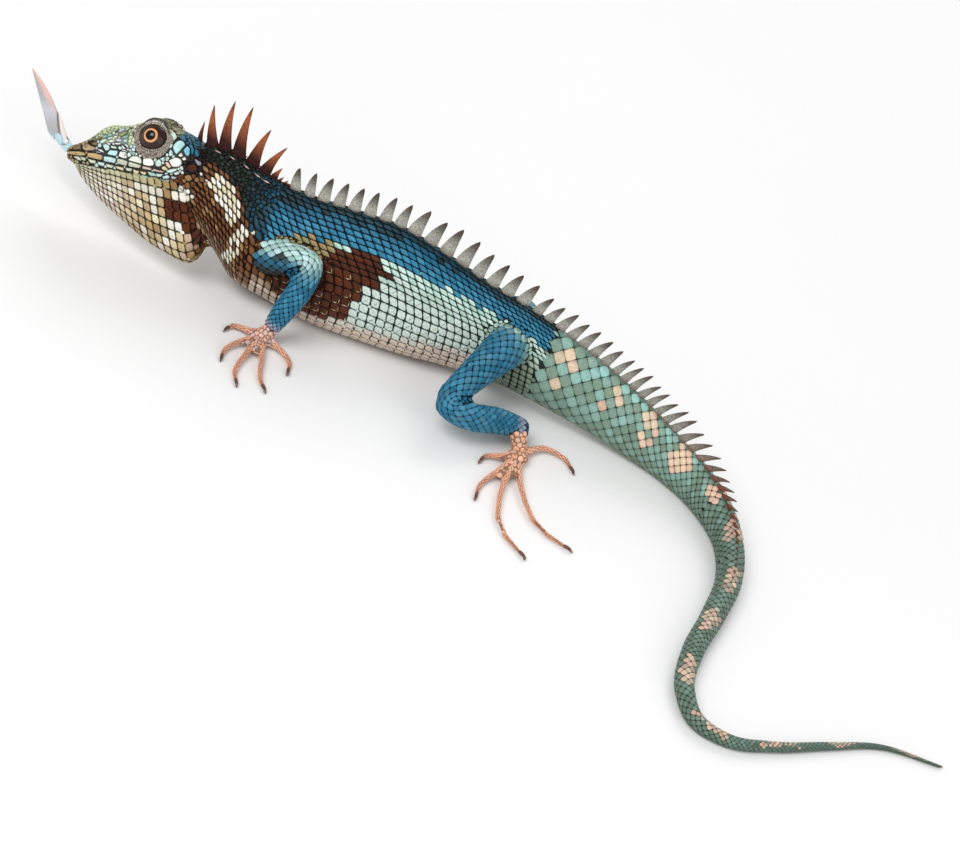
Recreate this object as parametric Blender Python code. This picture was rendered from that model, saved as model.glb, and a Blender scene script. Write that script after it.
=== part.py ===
"""Nose-horned lizard at rest: a life-size still model with horn, throat pouch and crest.

The head points to -X and the left side faces -Y. The belly, hands, feet and tail lie on
the floor at z = 0, and the origin is in the middle of the belly's flat. Sizes are in
millimetres, and each finished mesh is scaled to metres. There are no moving joints.
"""

import math
import random

import bmesh
import bpy
import numpy as np
from mathutils import Matrix, Vector

MM = 0.001
GAP = 0.3  # clearance between neighbouring pieces
FLOOR = 0.0
SEED = 7

# Spine, from inside the skull to where the tail comes to lie on the floor. Each row is
# x, y, underside, ridge, half width, lean of the ridge along x and y, and roof: 2 makes
# the upper half round, and less makes it run up to a ridge.
SPINE = [
    (-33.0, -5.4, 9.8, 20.8, 5.0, -6.0, 5.0, 1.75),
    (-29.6, -4.8, 7.6, 22.6, 5.8, -5.2, 4.2, 1.65),
    (-26.0, -3.9, 4.9, 22.7, 6.4, -3.4, 2.8, 1.6),
    (-22.0, -3.1, 2.0, 21.7, 7.2, -1.2, 1.2, 1.55),
    (-15.0, -2.2, 0.9, 21.3, 7.8, 0.0, 0.0, 1.5),
    (-7.0, -1.3, -0.25, 22.2, 7.6, 0.0, 0.0, 1.5),
    (1.0, 0.3, -0.25, 22.5, 7.5, 0.0, 0.0, 1.5),
    (9.0, 2.3, -0.1, 20.6, 7.2, 0.0, 0.0, 1.5),
    (17.0, 3.9, 0.8, 18.3, 6.4, 0.0, 0.0, 1.5),
    (26.0, 4.4, 1.7, 17.2, 5.4, 0.0, 0.0, 1.5),
    (37.0, 4.4, 1.4, 15.2, 4.4, 0.0, 0.0, 1.5),
    (48.0, 4.0, 0.6, 12.2, 3.4, 0.0, 0.0, 1.6),
    (58.0, 2.4, 0.0, 9.0, 2.7, 0.0, 0.0, 1.75),
]
TAIL_BENDS = [
    (65.6, -0.6), (71.4, -7.5), (74.1, -17.3), (73.6, -28.4), (72.4, -38.7), (73.2, -48.0),
    (76.6, -53.2), (81.6, -53.6), (88.6, -49.9), (97.3, -43.1), (105.6, -37.0), (116.4, -34.2),
]
TAIL_HEIGHT = (7.4, 0.9)  # where it first lies on the floor, and at its tip
TAIL_SLIMNESS = 0.84  # width over height near the root, rising to 1 at the tip
CORE_SHARE = 0.42  # height of the widest level over the section's height
CORE_LENGTH = 90.0  # how much of the body the limbs are cut clear of
TAIL_SINK = 0.06  # how far a round section dips below the floor before it is flattened
FLAT_BAND, FLAT_SHARE = 0.15, 0.05  # what lies this low is flat: in mm, and over the height

# Where the body is parted: the number of crest spines in front of the cut, or past the
# crest the distance along the spine. The last length runs to the tip.
CRESTED = [("neck", 6, 22, 2.0), ("torso_front", 14, 24, 1.9), ("torso_rear", 22, 24, 1.9),
           ("tail_1", 30, 18, 2.2), ("tail_2", 38, 16, 2.2), ("tail_3", 46, 14, 2.2)]
BARE = [("tail_4", 133.0, 12, 2.6), ("tail_5", 158.0, 10, 2.6), ("tail_6", None, 10, 2.8)]

# Head frame: the mouth corner's level on the midline, with the head bowed, turned and rolled.
HEAD_ORIGIN = Vector((-36.6, -4.2, 15.4))
HEAD_BOW, HEAD_TURN, HEAD_ROLL = math.radians(20.1), math.radians(4.0), math.radians(24.0)
# Each row is forward, height of the crown above the mouth, and half width.
SKULL = [
    (-9.0, 2.6, 5.5), (-7.0, 3.2, 5.9), (-5.4, 4.0, 6.2), (-3.8, 5.1, 6.3), (-1.6, 6.0, 6.3),
    (-0.95, 6.2, 6.2), (1.0, 6.9, 5.9), (2.9, 7.2, 5.5), (5.0, 7.0, 5.0), (7.2, 6.1, 4.4),
    (8.8, 5.8, 4.0), (10.3, 5.8, 3.6), (11.8, 5.2, 3.2), (13.1, 4.0, 2.8), (14.5, 2.8, 2.4),
    (16.2, 2.0, 1.9), (17.5, 1.4, 1.3), (18.1, 0.9, 0.7),
]
NAPE_FACE = (Vector((-4.5, 5.0, 0.0)), Vector((0.912, -0.41, 0.0)))  # where head and neck part
JAW_HINGE = -0.65  # the jaw's rear end, behind the mouth corner
JAW_DEPTH = 2.7
EYE_AT = Vector((2.35, 4.55, 3.4))  # forward, up, left, in the head frame
EYE_AXIS = Vector((0.05, 0.28, 0.96))
EYE_RADIUS, LID_OPENING = 2.6, 2.25
LID_SIZE = Vector((3.15, 2.8, 3.0))
BROW_AT, BROW_SIZE = Vector((3.8, 5.9, 3.8)), Vector((3.1, 1.05, 1.4))
EAR_AT, EAR_RADIUS, EAR_DEPTH = Vector((-4.9, 1.1, 6.2)), 0.85, 0.9
NOSTRIL_AT, NOSTRIL_RADIUS, NOSTRIL_DEPTH = Vector((13.95, 1.5, 2.4)), 0.34, 0.6

# Pouch under the jaw: forward, lower edge, half width near the jaw.
POUCH = [
    (16.8, -1.4, 0.9), (15.4, -3.2, 1.6), (13.2, -5.4, 2.4), (10.6, -7.5, 3.2),
    (7.1, -9.9, 3.9), (2.2, -13.0, 4.7), (-1.9, -14.7, 4.9), (-4.3, -15.5, 4.6),
    (-5.6, -14.8, 4.2), (-6.6, -12.6, 3.8),
]
POUCH_ROOT = -0.8  # the level at which the pouch starts, inside the jaw
POUCH_KEEL = 0.5  # half thickness along the lower edge

# Horn: a scaly root, then a blade with a straight front edge and a rear edge that bows.
HORN_ROOT, HORN_ROOT_WIDTH = Vector((17.3, 0.5, 0.0)), 1.8
BLADE_FRONT, BLADE_TIP = Vector((21.45, 3.2, 0.0)), Vector((25.05, 13.0, 0.0))
BLADE_WIDTH, BLADE_THICK, BLADE_TAPER = 2.4, 1.1, 2.2
SPUR_FOOT, SPUR_TIP, SPUR_RADIUS = Vector((18.5, 2.1, 0.0)), Vector((19.9, 6.6, 0.0)), 0.5

# Limbs: centre points with radii, roots inside the body.
ARM = [(-19.5, -3.4, 8.2, 3.3), (-16.8, -7.4, 10.6, 3.2), (-12.6, -9.6, 13.4, 2.9),
       (-8.9, -10.4, 14.6, 2.3), (-8.7, -12.4, 11.0, 2.2), (-9.6, -13.7, 6.6, 2.0),
       (-10.3, -14.4, 3.1, 1.55)]
ARM_ELBOW = 3
HAND_PALM = (-11.0, -15.2, 1.15)
# Toes, inner toe last: knuckle, last joint and claw tip in plan.
HAND_TOES = [((-14.5, -15.2), (-16.4, -15.4), (-16.9, -17.5)),
             ((-13.7, -19.0), (-15.0, -22.8), (-14.5, -25.2)),
             ((-11.7, -21.4), (-11.6, -26.4), (-10.0, -29.3)),
             ((-9.0, -20.8), (-7.6, -24.8), (-5.6, -27.3)),
             ((-7.4, -15.8), (-4.9, -17.4), (-4.3, -20.4))]
LEG = [(25.5, 1.5, 11.5, 4.0), (24.4, -3.6, 11.2, 3.4), (22.1, -10.4, 8.9, 2.65),
       (20.9, -15.8, 6.2, 2.25), (24.8, -14.5, 5.3, 2.4), (29.2, -10.6, 4.3, 2.3),
       (33.0, -7.4, 3.0, 1.85)]
LEG_KNEE = 3
FOOT_PALM = (34.9, -12.4, 1.2)
FOOT_TOES = [((31.6, -14.9), (29.9, -15.8), (29.6, -18.0)),
             ((32.6, -19.6), (31.3, -23.6), (31.7, -27.4)),
             ((34.9, -23.6), (37.4, -31.4), (43.0, -35.3)),
             ((37.8, -20.2), (42.8, -26.5), (49.3, -28.0)),
             ((38.4, -6.6), (42.4, -6.2), (44.6, -8.7))]
CALM = 3.4  # reach over which a limb's rings turn through a bend
PALM_RADIUS, PALM_SIZE = 1.25, (2.1, 2.2, 1.35)
TOE_RADIUS, CLAW_LENGTH, CLAW_RADIUS = 0.66, 1.5, 0.38
KNUCKLE_LIFT = 0.35  # how far a knuckle stands over a toe that lies flat

# Far limbs are the near ones mirrored across a line in plan: its point and turn, then how
# far out and how high the mirrored limb goes beside the near one.
ARM_MIRROR = (Vector((-14.0, -2.0)), math.radians(8.0), 1.03, 0.84)
FAR_LEG = [(25.5, 6.5, 11.0, 4.1), (24.8, 10.4, 10.4, 3.8), (22.8, 14.4, 7.8, 3.2),
           (20.3, 17.6, 5.4, 2.5), (24.4, 15.9, 4.9, 2.4), (29.0, 13.5, 4.0, 2.2),
           (33.0, 11.6, 2.9, 1.8)]
FAR_FOOT_PALM, FAR_FOOT_TURN = (29.2, 13.2, 1.2), math.radians(84.0)

# Nape spines: x of the root, length, base, and how far the tip leans back in degrees.
NAPE = [(-31.9, 6.6, 2.4, -29.0), (-29.9, 8.0, 2.6, -27.5), (-27.4, 8.4, 2.8, -29.0),
        (-24.8, 7.0, 2.6, -21.5), (-22.6, 6.0, 2.1, 0.0), (-20.9, 2.3, 1.3, 8.0)]
THORN_ROOT, THORN_TIP, THORN_RADIUS = Vector((-4.1, 4.3, 0.0)), Vector((-4.7, 8.1, 0.0)), 0.5
# Crest of the back and tail: spine number, distance along the body, length and lean. The
# spines between two rows take their sizes from both.
CREST = [(0, 17.2, 4.1, -11.0), (2, 21.9, 4.5, 0.0), (8, 37.6, 4.9, 5.0), (12, 50.1, 5.3, 9.5),
         (16, 61.7, 4.1, 19.0), (23, 77.9, 4.1, 17.0), (30, 91.1, 4.6, 26.0),
         (35, 101.5, 3.7, 50.0), (39, 109.1, 2.5, 62.0), (43, 116.4, 0.8, 60.0),
         (47, 124.0, 0.5, 60.0)]
NAPE_FULLNESS, CREST_FULLNESS = 0.6, 0.84  # width half way up over width at the root
CREST_PACKING = 0.84  # a root's length over the distance to the next one
SPINE_THICK, SPINE_TIP_THICK = 0.9, 0.3
ROOT_DEPTH = 1.2
BLADE_CURL = math.radians(9.0)  # how much further back a blade leans at its tip

COLOURS = {
    "head": (0.42, 0.60, 0.62), "jaw": (0.62, 0.60, 0.50), "throat_pouch": (0.47, 0.38, 0.24),
    "horn": (0.72, 0.74, 0.76), "eye": (0.06, 0.03, 0.02), "neck": (0.10, 0.07, 0.06),
    "torso_front": (0.06, 0.24, 0.44), "torso_rear": (0.08, 0.30, 0.48),
    "tail_1": (0.16, 0.42, 0.42), "tail_2": (0.20, 0.42, 0.40), "tail_3": (0.26, 0.42, 0.38),
    "tail_4": (0.30, 0.38, 0.34), "tail_5": (0.40, 0.36, 0.32), "tail_6": (0.55, 0.38, 0.30),
    "upper_arm": (0.12, 0.40, 0.50), "forearm": (0.05, 0.26, 0.50), "hand": (0.72, 0.40, 0.30),
    "thigh": (0.06, 0.30, 0.52), "shin": (0.05, 0.26, 0.50), "foot": (0.74, 0.42, 0.32),
}
ROUGHNESS = {"eye": 0.12, "horn": 0.40}
SMOOTH_ANGLE = math.radians(40.0)


def head_axes():
    """Forward, up and left of the head as unit vectors."""
    forward = Vector((-math.cos(HEAD_BOW) * math.cos(HEAD_TURN),
                      -math.cos(HEAD_BOW) * math.sin(HEAD_TURN), -math.sin(HEAD_BOW)))
    left = Vector((math.sin(HEAD_TURN), -math.cos(HEAD_TURN), 0.0))
    up = forward.cross(left)
    rolled_left = left * math.cos(HEAD_ROLL) + up * math.sin(HEAD_ROLL)
    rolled_up = up * math.cos(HEAD_ROLL) - left * math.sin(HEAD_ROLL)
    return forward, rolled_up, rolled_left


def in_head(place):
    """A forward, up, left place of the head as a point of the model."""
    forward, up, left = head_axes()
    return HEAD_ORIGIN + forward * place[0] + up * place[1] + left * place[2]


def turn_to_head(direction):
    return in_head(direction) - HEAD_ORIGIN


class Track:
    """A smooth curve through rows of numbers whose first three are a place."""

    def __init__(self, rows):
        self.rows = np.array(rows, float)
        steps = np.linalg.norm(np.diff(self.rows[:, :3], axis=0), axis=1)
        self.knots = np.concatenate([[0.0], np.cumsum(steps)])
        self.slopes = np.gradient(self.rows, self.knots, axis=0)
        self.length = float(self.knots[-1])

    def at(self, distance):
        distance = min(max(distance, 0.0), self.length)
        last = len(self.knots) - 2
        i = min(int(np.searchsorted(self.knots, distance, side="right")) - 1, last)
        span = self.knots[i + 1] - self.knots[i]
        u = (distance - self.knots[i]) / span
        start, end = self.rows[i], self.rows[i + 1]
        leave, arrive = self.slopes[i] * span, self.slopes[i + 1] * span
        return ((2 * u**3 - 3 * u**2 + 1) * start + (u**3 - 2 * u**2 + u) * leave
                + (3 * u**2 - 2 * u**3) * end + (u**3 - u**2) * arrive)

    def place(self, distance):
        return Vector(self.at(distance)[:3])

    def heading(self, distance, reach):
        """Direction of the chord over a reach on each side, calm round tight bends."""
        return (self.place(distance + reach) - self.place(distance - reach)).normalized()


def body_track():
    rows = []
    for x, y, under, ridge, half, lean_x, lean_y, roof in SPINE:
        rows.append((x, y, (under + ridge) / 2, ridge - under, half, lean_x, lean_y, roof))
    for i, (x, y) in enumerate(TAIL_BENDS):
        share = i / (len(TAIL_BENDS) - 1)
        height = TAIL_HEIGHT[0] + (TAIL_HEIGHT[1] - TAIL_HEIGHT[0]) * share**0.62
        slim = TAIL_SLIMNESS + (1 - TAIL_SLIMNESS) * min(1.0, share * 2.5)
        rows.append((x, y, height / 2 - TAIL_SINK * height, height, height * slim / 2,
                     0.0, 0.0, 1.8 + 0.2 * min(1.0, share * 4)))
    return Track(rows)


def body_frame(track, distance):
    """Centre, up, side, heights over and under the widest level, half width, roof."""
    row = track.at(distance)
    height, half, lean_x, lean_y, roof = row[3:8]
    up = Vector((lean_x, lean_y, height)).normalized()
    heading = track.heading(distance, half * 0.9)
    side = Vector((heading.y, -heading.x, 0.0))
    side = (side - up * side.dot(up)).normalized()
    share = CORE_SHARE + (0.5 - CORE_SHARE) * (roof - 1.5) / 0.5
    centre = Vector(row[:3]) - up * height * (0.5 - share)
    return centre, up, side, height * (1 - share), height * share, half, roof


def body_ring(track, distance, sides, grow=0.0):
    centre, up, side, over, under, half, roof = body_frame(track, distance)
    ring = []
    for k in range(sides):
        angle = 2 * math.pi * k / sides
        across, rise = math.sin(angle), math.cos(angle)
        power = 2 / roof if rise > 0 else 2 / 2.15
        reach = (over if rise > 0 else under) + grow
        flat = math.copysign(abs(across)**power, across) * (half + grow)
        tall = math.copysign(abs(rise)**power, rise) * reach
        point = centre + side * flat + up * tall
        if point.z < FLOOR + min(FLAT_BAND, (over + under) * FLAT_SHARE):
            point.z = FLOOR - grow
        ring.append(point)
    return ring


def ridge_point(track, distance):
    centre, up, side, over = body_frame(track, distance)[:4]
    return centre + up * over


def loft(name, rings):
    """Closed solid through rings of equal count, its ends filled."""
    bm = bmesh.new()
    loops = [[bm.verts.new(point) for point in ring] for ring in rings]
    count = len(loops[0])
    for near, far in zip(loops, loops[1:]):
        for k in range(count):
            bm.faces.new((near[k], near[(k + 1) % count], far[(k + 1) % count], far[k]))
    bm.faces.new(list(reversed(loops[0])))
    bm.faces.new(loops[-1])
    return finish_mesh(name, bm)


def finish_mesh(name, bm):
    bmesh.ops.remove_doubles(bm, verts=bm.verts, dist=1e-3)
    bmesh.ops.triangulate(bm, faces=bm.faces)
    bmesh.ops.recalc_face_normals(bm, faces=bm.faces)
    mesh = bpy.data.meshes.new(name)
    bm.to_mesh(mesh)
    bm.free()
    return link(bpy.data.objects.new(name, mesh))


def link(obj):
    bpy.context.scene.collection.objects.link(obj)
    return obj


def tube(name, track, start, end, sides, reach, normal, steps):
    """Round tube of the track's fourth column, its rings square to a calm heading."""
    rings = []
    for i in range(steps + 1):
        distance = start + (end - start) * i / steps
        heading = track.heading(distance, reach)
        across = (normal - heading * normal.dot(heading)).normalized()
        third = heading.cross(across)
        radius = track.at(distance)[3]
        centre = track.place(distance)
        rings.append([centre + (across * math.cos(a) + third * math.sin(a)) * radius
                      for a in (2 * math.pi * k / sides for k in range(sides))])
    return loft(name, rings)


def ball(name, centre, radii, axes=None, segments=14, rings=9):
    bm = bmesh.new()
    bmesh.ops.create_uvsphere(bm, u_segments=segments, v_segments=rings, radius=1.0)
    turn = axes if axes else Matrix.Identity(4)
    size = Matrix.Diagonal((*radii, 1.0))
    bmesh.ops.transform(bm, verts=bm.verts, matrix=Matrix.Translation(centre) @ turn @ size)
    return finish_mesh(name, bm)


def rod(name, start, end, start_radius, end_radius, segments=12):
    """Round rod or cone between two points."""
    bm = bmesh.new()
    axis = end - start
    bmesh.ops.create_cone(bm, cap_ends=True, segments=segments, radius1=start_radius,
                          radius2=end_radius, depth=axis.length)
    turn = axis.to_track_quat("Z", "Y").to_matrix().to_4x4()
    place = Matrix.Translation((start + end) / 2) @ turn
    bmesh.ops.transform(bm, verts=bm.verts, matrix=place)
    return finish_mesh(name, bm)


def head_matrix():
    """Turns a shape modelled as forward, up, left into the head's pose, about its own centre."""
    forward, up, left = head_axes()
    return Matrix((forward, up, left)).transposed().to_4x4()


def combine(target, others, operation, solver="EXACT"):
    """One Boolean with many operands, applied, after which the operands are removed."""
    group = bpy.data.collections.new("operands")
    bpy.context.scene.collection.children.link(group)
    for other in others:
        group.objects.link(other)
    step = target.modifiers.new("combine", "BOOLEAN")
    step.operation = operation
    step.operand_type = "COLLECTION"
    step.collection = group
    step.solver = solver
    depsgraph = bpy.context.evaluated_depsgraph_get()
    mesh = bpy.data.meshes.new_from_object(target.evaluated_get(depsgraph))
    target.modifiers.clear()
    target.data = mesh
    for other in others:
        bpy.data.objects.remove(other)
    bpy.data.collections.remove(group)
    keep_largest(target)
    return target


def keep_largest(obj):
    """Drops all but the largest closed surface."""
    bm = bmesh.new()
    bm.from_mesh(obj.data)
    bmesh.ops.triangulate(bm, faces=bm.faces)
    unseen = set(bm.verts)
    islands = []
    while unseen:
        stack = [unseen.pop()]
        island = set(stack)
        while stack:
            for edge in stack.pop().link_edges:
                for vert in edge.verts:
                    if vert in unseen:
                        unseen.discard(vert)
                        island.add(vert)
                        stack.append(vert)
        islands.append(island)
    islands.sort(key=lambda island: (len(island), max(vert.co.x for vert in island)))
    loose = [vert for island in islands[:-1] for vert in island]
    bmesh.ops.delete(bm, geom=loose, context="VERTS")
    bm.to_mesh(obj.data)
    bm.free()


def grown(obj, amount=0.0):
    """A copy of a smooth solid, its surface moved out by the amount."""
    mesh = obj.data.copy()
    copy = link(bpy.data.objects.new(obj.name + "_grown", mesh))
    normals = [vert.normal.copy() for vert in mesh.vertices]
    for vert, normal in zip(mesh.vertices, normals):
        vert.co += normal * amount
    return copy


def slice_off(obj, point, normal):
    """Cuts away what lies on the normal's side of a plane, and fills the cut."""
    bm = bmesh.new()
    bm.from_mesh(obj.data)
    geometry = bm.verts[:] + bm.edges[:] + bm.faces[:]
    cut = bmesh.ops.bisect_plane(bm, geom=geometry, dist=1e-5, plane_co=point,
                                 plane_no=normal, clear_outer=True)
    edges = [item for item in cut["geom_cut"] if isinstance(item, bmesh.types.BMEdge)]
    bmesh.ops.holes_fill(bm, edges=edges, sides=0)
    bmesh.ops.triangulate(bm, faces=bm.faces)
    bm.to_mesh(obj.data)
    bm.free()
    return obj


def floor_cutter():
    bm = bmesh.new()
    bmesh.ops.create_cube(bm, size=400.0)
    bmesh.ops.translate(bm, verts=bm.verts, vec=(0, 0, FLOOR - 200.0))
    return finish_mesh("floor_cutter", bm)


def at_ridge_x(track, x):
    """Distance at which the ridge passes an x, on the stretch where x only grows."""
    low, high = 0.0, track.knots[len(SPINE) - 1]
    for _ in range(40):
        middle = (low + high) / 2
        if ridge_point(track, middle).x < x:
            low = middle
        else:
            high = middle
    return low


def crest_spine(name, track, distance, length, base, lean, fullness):
    """Blade of a crest: a flattened four-sided cone that bends back, its root sunk in."""
    root = ridge_point(track, distance)
    side = body_frame(track, distance)[2]
    back = track.heading(distance, 1.5)
    back = (back - side * back.dot(side)).normalized()
    plumb = side.cross(back)
    if plumb.z < 0:
        plumb.negate()
    rings = []
    for share, width in ((0.0, 0.95), (0.45, fullness), (0.8, fullness * 0.62), (1.0, 0.08)):
        tilt = lean + BLADE_CURL * (share - 1)
        middle = root + (plumb * math.cos(tilt) + back * math.sin(tilt)) * length * share
        if share == 0.0:
            middle -= plumb * ROOT_DEPTH
        thick = SPINE_THICK + (SPINE_TIP_THICK - SPINE_THICK) * share
        long = back * base * width / 2
        flat = side * thick / 2
        rings.append([middle + long, middle + flat, middle - long, middle - flat])
    return loft(name, rings)


def crest_plan(track):
    """Every spine as distance, length, base, lean and fullness, from the nape back."""
    draw = random.Random(SEED)
    spines = [(at_ridge_x(track, x), length, base, math.radians(lean), NAPE_FULLNESS)
              for x, length, base, lean in NAPE]
    numbers, places, lengths, leans = zip(*CREST)
    steps = range(numbers[-1] + 1)
    roots = np.interp(steps, numbers, places)
    for i, root in enumerate(roots):
        pitch = roots[i + 1] - root if i + 1 < len(roots) else root - roots[i - 1]
        length = float(np.interp(i, numbers, lengths)) * draw.uniform(0.95, 1.05)
        lean = math.radians(float(np.interp(i, numbers, leans)) + draw.uniform(-2.0, 2.0))
        spines.append((float(root), length, pitch * CREST_PACKING, lean, CREST_FULLNESS))
    return spines


def body_cuts(track, spines):
    """Name, start, end, sides and ring pitch of each length of the body."""
    cuts, start = [], 0.0
    for name, before, sides, pitch in CRESTED:
        last, after = spines[before - 1], spines[before]
        end = (last[0] + last[2] / 2 + after[0] - after[2] / 2) / 2
        cuts.append((name, start, end, sides, pitch))
        start = end
    for name, end, sides, pitch in BARE:
        end = track.length + GAP / 2 if end is None else end
        cuts.append((name, start, end, sides, pitch))
        start = end
    return cuts


def make_body(track):
    """Neck, torso and tail lengths, each with its stretch of crest fused in."""
    nodes = {}
    spines = crest_plan(track)
    for name, start, end, sides, pitch in body_cuts(track, spines):
        first, last = start + GAP / 2, end - GAP / 2
        steps = round((last - first) / pitch)
        places = [first + (last - first) * i / steps for i in range(steps + 1)]
        node = loft(name, [body_ring(track, s, sides) for s in places])
        own = [spine for spine in spines if start < spine[0] < end]
        pieces = [crest_spine(f"spine_{i}", track, *spine) for i, spine in enumerate(own)]
        if pieces:
            combine(node, pieces, "UNION")
        nodes[name] = node
    return nodes


def body_core(track):
    """The whole neck, torso and first tail length, grown by the gap, to cut neighbours with."""
    last = CORE_LENGTH
    rings = [body_ring(track, last * i / 44, 28, GAP) for i in range(45)]
    return loft("body_core", rings)


# Half of the upper head's outline as shares of half width and crown height, crown to lip.
SKULL_OUTLINE = [(0.0, 1.0), (0.36, 0.985), (0.66, 0.88), (0.86, 0.62), (0.97, 0.34),
                 (1.04, 0.12), (1.0, 0.0)]


def skull_ring(forward, crown, half):
    lip = GAP / 2
    upper = [(half * c, lip + (crown - lip) * b) for c, b in SKULL_OUTLINE]
    if forward < JAW_HINGE - GAP:
        lower = [(half * 0.94, -1.6), (half * 0.6, -JAW_DEPTH)]
    else:
        lower = [(half * 0.6, lip), (half * 0.3, lip)]
    left = upper + lower
    right = [(-c, b) for c, b in reversed(left[1:])]
    return [in_head((forward, b, c)) for c, b in left + right]


def jaw_ring(forward, half, depth):
    lip = -GAP / 2
    left = [(0.0, lip), (half * 0.6, lip), (half, lip), (half * 1.03, lip - 0.45),
            (half * 0.95, lip - 0.50 * depth), (half * 0.62, lip - 0.85 * depth), (0.0, lip - depth)]
    right = [(-c, b) for c, b in reversed(left[1:-1])]
    return [in_head((forward, b, c)) for c, b in left + right]


def make_skull():
    """Upper head with brows, lids, eye sockets, nostrils, ear cups and the first nape thorn."""
    skull = loft("head", [skull_ring(*row) for row in SKULL])
    turn = head_matrix()
    added = [rod("thorn", in_head(THORN_ROOT), in_head(THORN_TIP), THORN_RADIUS, 0.1, 8)]
    sockets = []
    for sign in (1, -1):
        flip = Vector((1, 1, sign))
        eye = in_head(EYE_AT * flip)
        added.append(ball("lid", eye, LID_SIZE, turn, 18, 11))
        added.append(ball("brow", in_head(BROW_AT * flip), BROW_SIZE, turn, 12, 7))
        axis = turn_to_head(EYE_AXIS * flip).normalized()
        sockets.append(ball("socket", eye, (EYE_RADIUS + GAP,) * 3, turn, 14, 9))
        sockets.append(rod("opening", eye, eye + axis * 6, LID_OPENING * 0.8, LID_OPENING * 1.3, 16))
        for place, radius, depth in ((EAR_AT, EAR_RADIUS, EAR_DEPTH),
                                     (NOSTRIL_AT, NOSTRIL_RADIUS, NOSTRIL_DEPTH)):
            mouth = place * flip
            inner = in_head(mouth - Vector((0, 0, depth * sign)))
            outer = in_head(mouth + Vector((0, 0, 2.0 * sign)))
            sockets.append(rod("pit", inner, outer, radius * 0.8, radius * 1.4, 8))
    combine(skull, added, "UNION")
    combine(skull, sockets, "DIFFERENCE")
    return slice_off(skull, in_head(NAPE_FACE[0]), -turn_to_head(NAPE_FACE[1]))


def half_width_at(forward):
    """Half width of the head at a place along it, straight between the rows."""
    return float(np.interp(forward, [row[0] for row in SKULL], [row[2] for row in SKULL]))


def make_jaw():
    front = SKULL[-1][0] - 0.2
    rings = []
    for i in range(13):
        share = i / 12
        forward = JAW_HINGE + (front - JAW_HINGE) * share
        half = half_width_at(forward) - 0.1
        rings.append(jaw_ring(forward, half, JAW_DEPTH * (1 - 0.62 * share**3)))
    return loft("jaw", rings)


def pouch_ring(forward, lower, half):
    """One slice of the pouch, wide at the jaw and drawn in to a keel."""
    depth = POUCH_ROOT - lower
    left = []
    for i in range(8):
        share = i / 7
        width = POUCH_KEEL + (half - POUCH_KEEL) * math.cos(share * math.pi / 2)**0.75
        left.append((width, POUCH_ROOT - depth * math.sin(share * math.pi / 2)**1.15))
    right = [(-c, b) for c, b in reversed(left)]
    return [in_head((forward, b, c)) for c, b in left + right]


def make_pouch(neighbours):
    track = Track([(forward, lower, 0, half) for forward, lower, half in POUCH])
    steps = 16
    rows = [track.at(track.length * i / steps) for i in range(steps + 1)]
    pouch = loft("throat_pouch", [pouch_ring(row[0], row[1], row[3]) for row in rows])
    return combine(pouch, neighbours, "DIFFERENCE")


def horn_ring(middle, across, width, thick):
    ring = []
    for k in range(8):
        angle = 2 * math.pi * k / 8
        ring.append(in_head(middle + across * math.cos(angle) * width / 2
                            + Vector((0, 0, math.sin(angle) * thick / 2))))
    return ring


def make_horn(head_grown):
    """Blade on a scaly root at the snout's tip, with a spur behind it."""
    along = (BLADE_TIP - BLADE_FRONT).normalized()
    across = Vector((along.y, -along.x, 0))
    rings = [horn_ring(HORN_ROOT, across, HORN_ROOT_WIDTH, BLADE_THICK)]
    steps = 8
    for i in range(steps + 1):
        share = i / steps
        width = BLADE_WIDTH * (1 - share**BLADE_TAPER) + 0.16
        thick = BLADE_THICK * (1 - 0.72 * share)
        edge = BLADE_FRONT.lerp(BLADE_TIP, share)
        rings.append(horn_ring(edge - across * width / 2, across, width, thick))
    horn = loft("horn", rings)
    spur = rod("spur", in_head(SPUR_FOOT), in_head(SPUR_TIP), SPUR_RADIUS, 0.12, 8)
    combine(horn, [spur], "UNION")
    return combine(horn, [head_grown], "DIFFERENCE")


def make_eyes():
    eyes = {}
    for side, sign in (("left", 1), ("right", -1)):
        name = f"eye_{side}"
        axis = turn_to_head(EYE_AXIS * Vector((1, 1, sign)))
        turn = axis.to_track_quat("Z", "Y").to_matrix().to_4x4()
        centre = in_head(EYE_AT * Vector((1, 1, sign)))
        eyes[name] = ball(name, centre, (EYE_RADIUS,) * 3, turn, 16, 10)
    return eyes


def mirrored(point, mirror):
    """A point reflected across a line in plan, drawn in and lowered."""
    origin, angle, share, lower = mirror
    along = Vector((math.cos(angle), math.sin(angle)))
    away = Vector((-along.y, along.x))
    offset = Vector(point[:2]) - origin
    plan = origin + along * offset.dot(along) - away * offset.dot(away) * share
    height = [point[2] * lower] if len(point) > 2 else []
    return (plan.x, plan.y, *height, *point[3:])


def limb_pieces(names, rows, bend, core):
    """Upper and lower length of a limb, parted at the bend, the upper cut clear of the body."""
    track = Track(rows)
    first = Vector(rows[bend][:3]) - Vector(rows[0][:3])
    second = Vector(rows[-1][:3]) - Vector(rows[bend][:3])
    normal = first.cross(second).normalized()
    part = float(track.knots[bend])
    upper = tube(names[0], track, 0.0, part - GAP / 2, 14, CALM, normal, 9)
    lower = tube(names[1], track, part + GAP / 2, track.length, 12, CALM, normal, 8)
    combine(upper, [grown(core)], "DIFFERENCE")
    combine(lower, [grown(upper, GAP)], "DIFFERENCE")
    return upper, lower


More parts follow.
